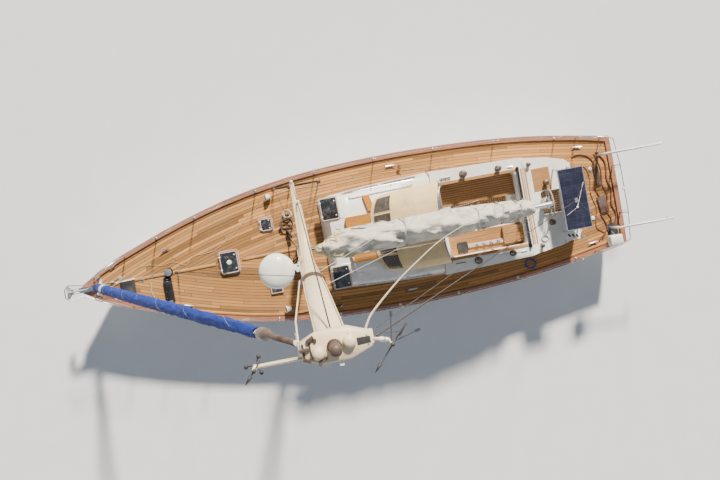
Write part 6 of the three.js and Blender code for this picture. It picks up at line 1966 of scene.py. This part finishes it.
class SLOOP_OT_stern(bpy.types.Operator):
    """Fits the stern: panel rim, aerial, hoses, pads, davit tackles, backstay screws and lifebuoy straps"""

    bl_idname = "sloop.stern"
    bl_label = "Stern gear"

    def execute(self, context):
        steel, dark, white, hoses, ropes = shapes(5)
        low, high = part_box("solar_panel")
        steel.border(low.x + 0.02, high.x - 0.02, low.y + 0.02, high.y - 0.02, 0.021, low.z - 0.001,
                     high.z + 0.004, corner=0.006)
        for y in (-0.45, 0.45):
            dark.block(((low.x + high.x) / 2, y, low.z - 0.012), (0.14, 0.10, 0.024), bevel=0.005)
        white.tube([(-5.37, 0.20, high.z + 0.014), (-5.61, -0.36, high.z + 0.014)], [0.008, 0.006], 8)
        white.lathe("aerial_knob", (-5.36, 0.215, high.z))
        white.tube([(-5.36, 0.22, high.z + 0.008), (-5.08, 0.37, high.z + 0.006)], 0.004, 6)
        for r, plan in HOSES:
            way = curve_through([(x, y, 0) for x, y in plan], 60)
            hoses.tube([on_top(p.x, p.y, r + 0.001, AFT_DECK) for p in way], r, 10)
        for x, y, size, turn in ((-6.36, 0.32, (0.22, 0.42, 0.06), 0.12),
                                 (-6.34, -0.42, (0.13, 0.50, 0.05), 0.04)):
            hoses.block(on_top(x, y, size[2] / 2, AFT_DECK), size, turn=turn, bevel=0.02, mark=1)
        # A dark slate-coloured block on the port quarter of the aft deck.
        dark.block(on_top(-6.50, 1.00, 0.02, AFT_DECK), (0.24, 0.34, 0.04), turn=0.1, bevel=0.012, mark=1)
        for x, y in ((-6.2, -0.62), (-6.05, 0.62)):
            white.lathe("stern_vent", on_top(x, y, 0, AFT_DECK))
        for side, node in ((1, "davit_port"), (-1, "davit_starboard")):
            low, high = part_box(node)
            tip = Vector((low.x + 0.05, (low.y + high.y) / 2, high.z - 0.05))
            shackle_block(dark, tip, -UP, 0.07)
            shackle_block(dark, tip - up(0.32), UP, 0.06)
            for dy in (-0.016, 0, 0.016):
                ropes.tube([tip + Vector((0, dy, -0.06)), tip + Vector((0, dy, -0.28))], 0.005, 6)
            fall = [tip + Vector((0, 0.02, -0.05)), (tip.x + 0.5, tip.y, high.z + 0.012),
                    (tip.x + 1.1, tip.y, high.z - 0.10)]
            ropes.tube(curve_through(fall, 20), 0.005, 6)
            for x in (low.x + 0.012, low.x + 0.5):
                steel.lathe("davit_ring", (x, tip.y, high.z - 0.03), (1, 0, 0))
            foot = on_top(-6.585, side * 1.178, 0.012, 1.6)
            turnbuckle(steel, foot, BACKSTAY_PLATE - foot, 0.012)
        steel.block(BACKSTAY_PLATE, (0.05, 0.10, 0.06), bevel=0.006)
        low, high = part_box("lifebuoy")
        mid, size = (low + high) / 2, high - low
        for a in (0.9, 2.6, 3.7, 5.5):
            out = Vector((math.cos(a) * size.x * 0.39, 0, math.sin(a) * size.z * 0.39))
            dark.block(mid + out, (0.05, size.y * 0.62, 0.07), lean=-a, bevel=0.01, mark=2)
        for y in (-0.55, 0.55):
            steel.tube([(-6.75, y, 1.40), (-6.77, y, 1.93)], 0.006, 6)
        white.lathe("stern_light", (-6.74, 0.0, 1.90))
        steel.make("stern_fittings", "steel", "stainless", 40)
        dark.make("stern_dark_fittings", "black_plastic navy red_plastic", "dark_metal", 40)
        white.make("stern_white_fittings", "white_plastic", "white_plastic", 40)
        hoses.make("deck_hoses", "hose brown_plastic", "brown_plastic", 60)
        ropes.make("davit_falls", "white_rope", "rope", 80)
        return {"FINISHED"}


# Skin fittings on each side: x, height, radius
SKIN_FITTINGS = ((4.3, 0.62, 0.022), (2.1, 0.30, 0.03), (0.4, 0.28, 0.026), (-1.6, 0.30, 0.03),
                 (-3.4, 0.34, 0.026), (-5.2, 0.42, 0.045), (-2.4, 0.9, 0.022), (1.3, 0.9, 0.022))
ANODES = ((-4.5, -0.75, 1), (-3.0, -0.62, 1))


class SLOOP_OT_hull(bpy.types.Operator):
    """Fits skin fittings and anodes to the hull"""

    bl_idname = "sloop.hull"
    bl_label = "Hull fittings"

    def execute(self, context):
        skin = tree_of("hull", "skeg")
        fittings, anodes = shapes(2)
        for side in (1, -1):
            for shape, form, rows in ((fittings, "skin_fitting", SKIN_FITTINGS), (anodes, "anode", ANODES)):
                for x, z, r in rows:
                    hit, normal = skin.ray_cast(Vector((x, side * 4.0, z)), Vector((0, -side, 0)))[:2]
                    if hit:
                        shape.lathe(form, hit, normal, wide=r)
        fittings.make("skin_fittings", "bronze", "bronze", 40)
        anodes.make("hull_anodes", "galvanised", "alloy", 40)
        return {"FINISHED"}


STEPS = (SLOOP_OT_finishes, SLOOP_OT_stage, SLOOP_OT_skins, SLOOP_OT_cords, SLOOP_OT_mainsail,
         SLOOP_OT_headsail, SLOOP_OT_hood, SLOOP_OT_deck, SLOOP_OT_rail, SLOOP_OT_mast_fittings,
         SLOOP_OT_running_rigging, SLOOP_OT_standing_rigging, SLOOP_OT_foredeck, SLOOP_OT_roof,
         SLOOP_OT_cockpit, SLOOP_OT_stern, SLOOP_OT_hull)


class SLOOP_PT_panel(bpy.types.Panel):
    """Lists the sloop's sizes, colours and pieces"""

    bl_idname = "SLOOP_PT_panel"
    bl_label = "Cruising sloop"
    bl_space_type = "VIEW_3D"
    bl_region_type = "UI"
    bl_category = "Sloop"

    def draw(self, context):
        for group in (context.scene.sloop_sizes, context.scene.sloop_colours):
            column = self.layout.column()
            for name in group.bl_rna.properties.keys():
                if name not in ("rna_type", "name"):
                    column.prop(group, name)
        column = self.layout.column()
        for step in STEPS:
            column.operator(step.bl_idname)


CLASSES = (SloopSizes, SloopColours, *STEPS, SLOOP_PT_panel)


def register():
    for cls in CLASSES:
        bpy.utils.register_class(cls)
    bpy.types.Scene.sloop_sizes = PointerProperty(type=SloopSizes)
    bpy.types.Scene.sloop_colours = PointerProperty(type=SloopColours)


def unregister():
    del bpy.types.Scene.sloop_colours
    del bpy.types.Scene.sloop_sizes
    for cls in reversed(CLASSES):
        bpy.utils.unregister_class(cls)


def main():
    register()
    for step in STEPS:
        group, name = step.bl_idname.split(".")
        getattr(getattr(bpy.ops, group), name)()


if __name__ == "__main__":
    main()
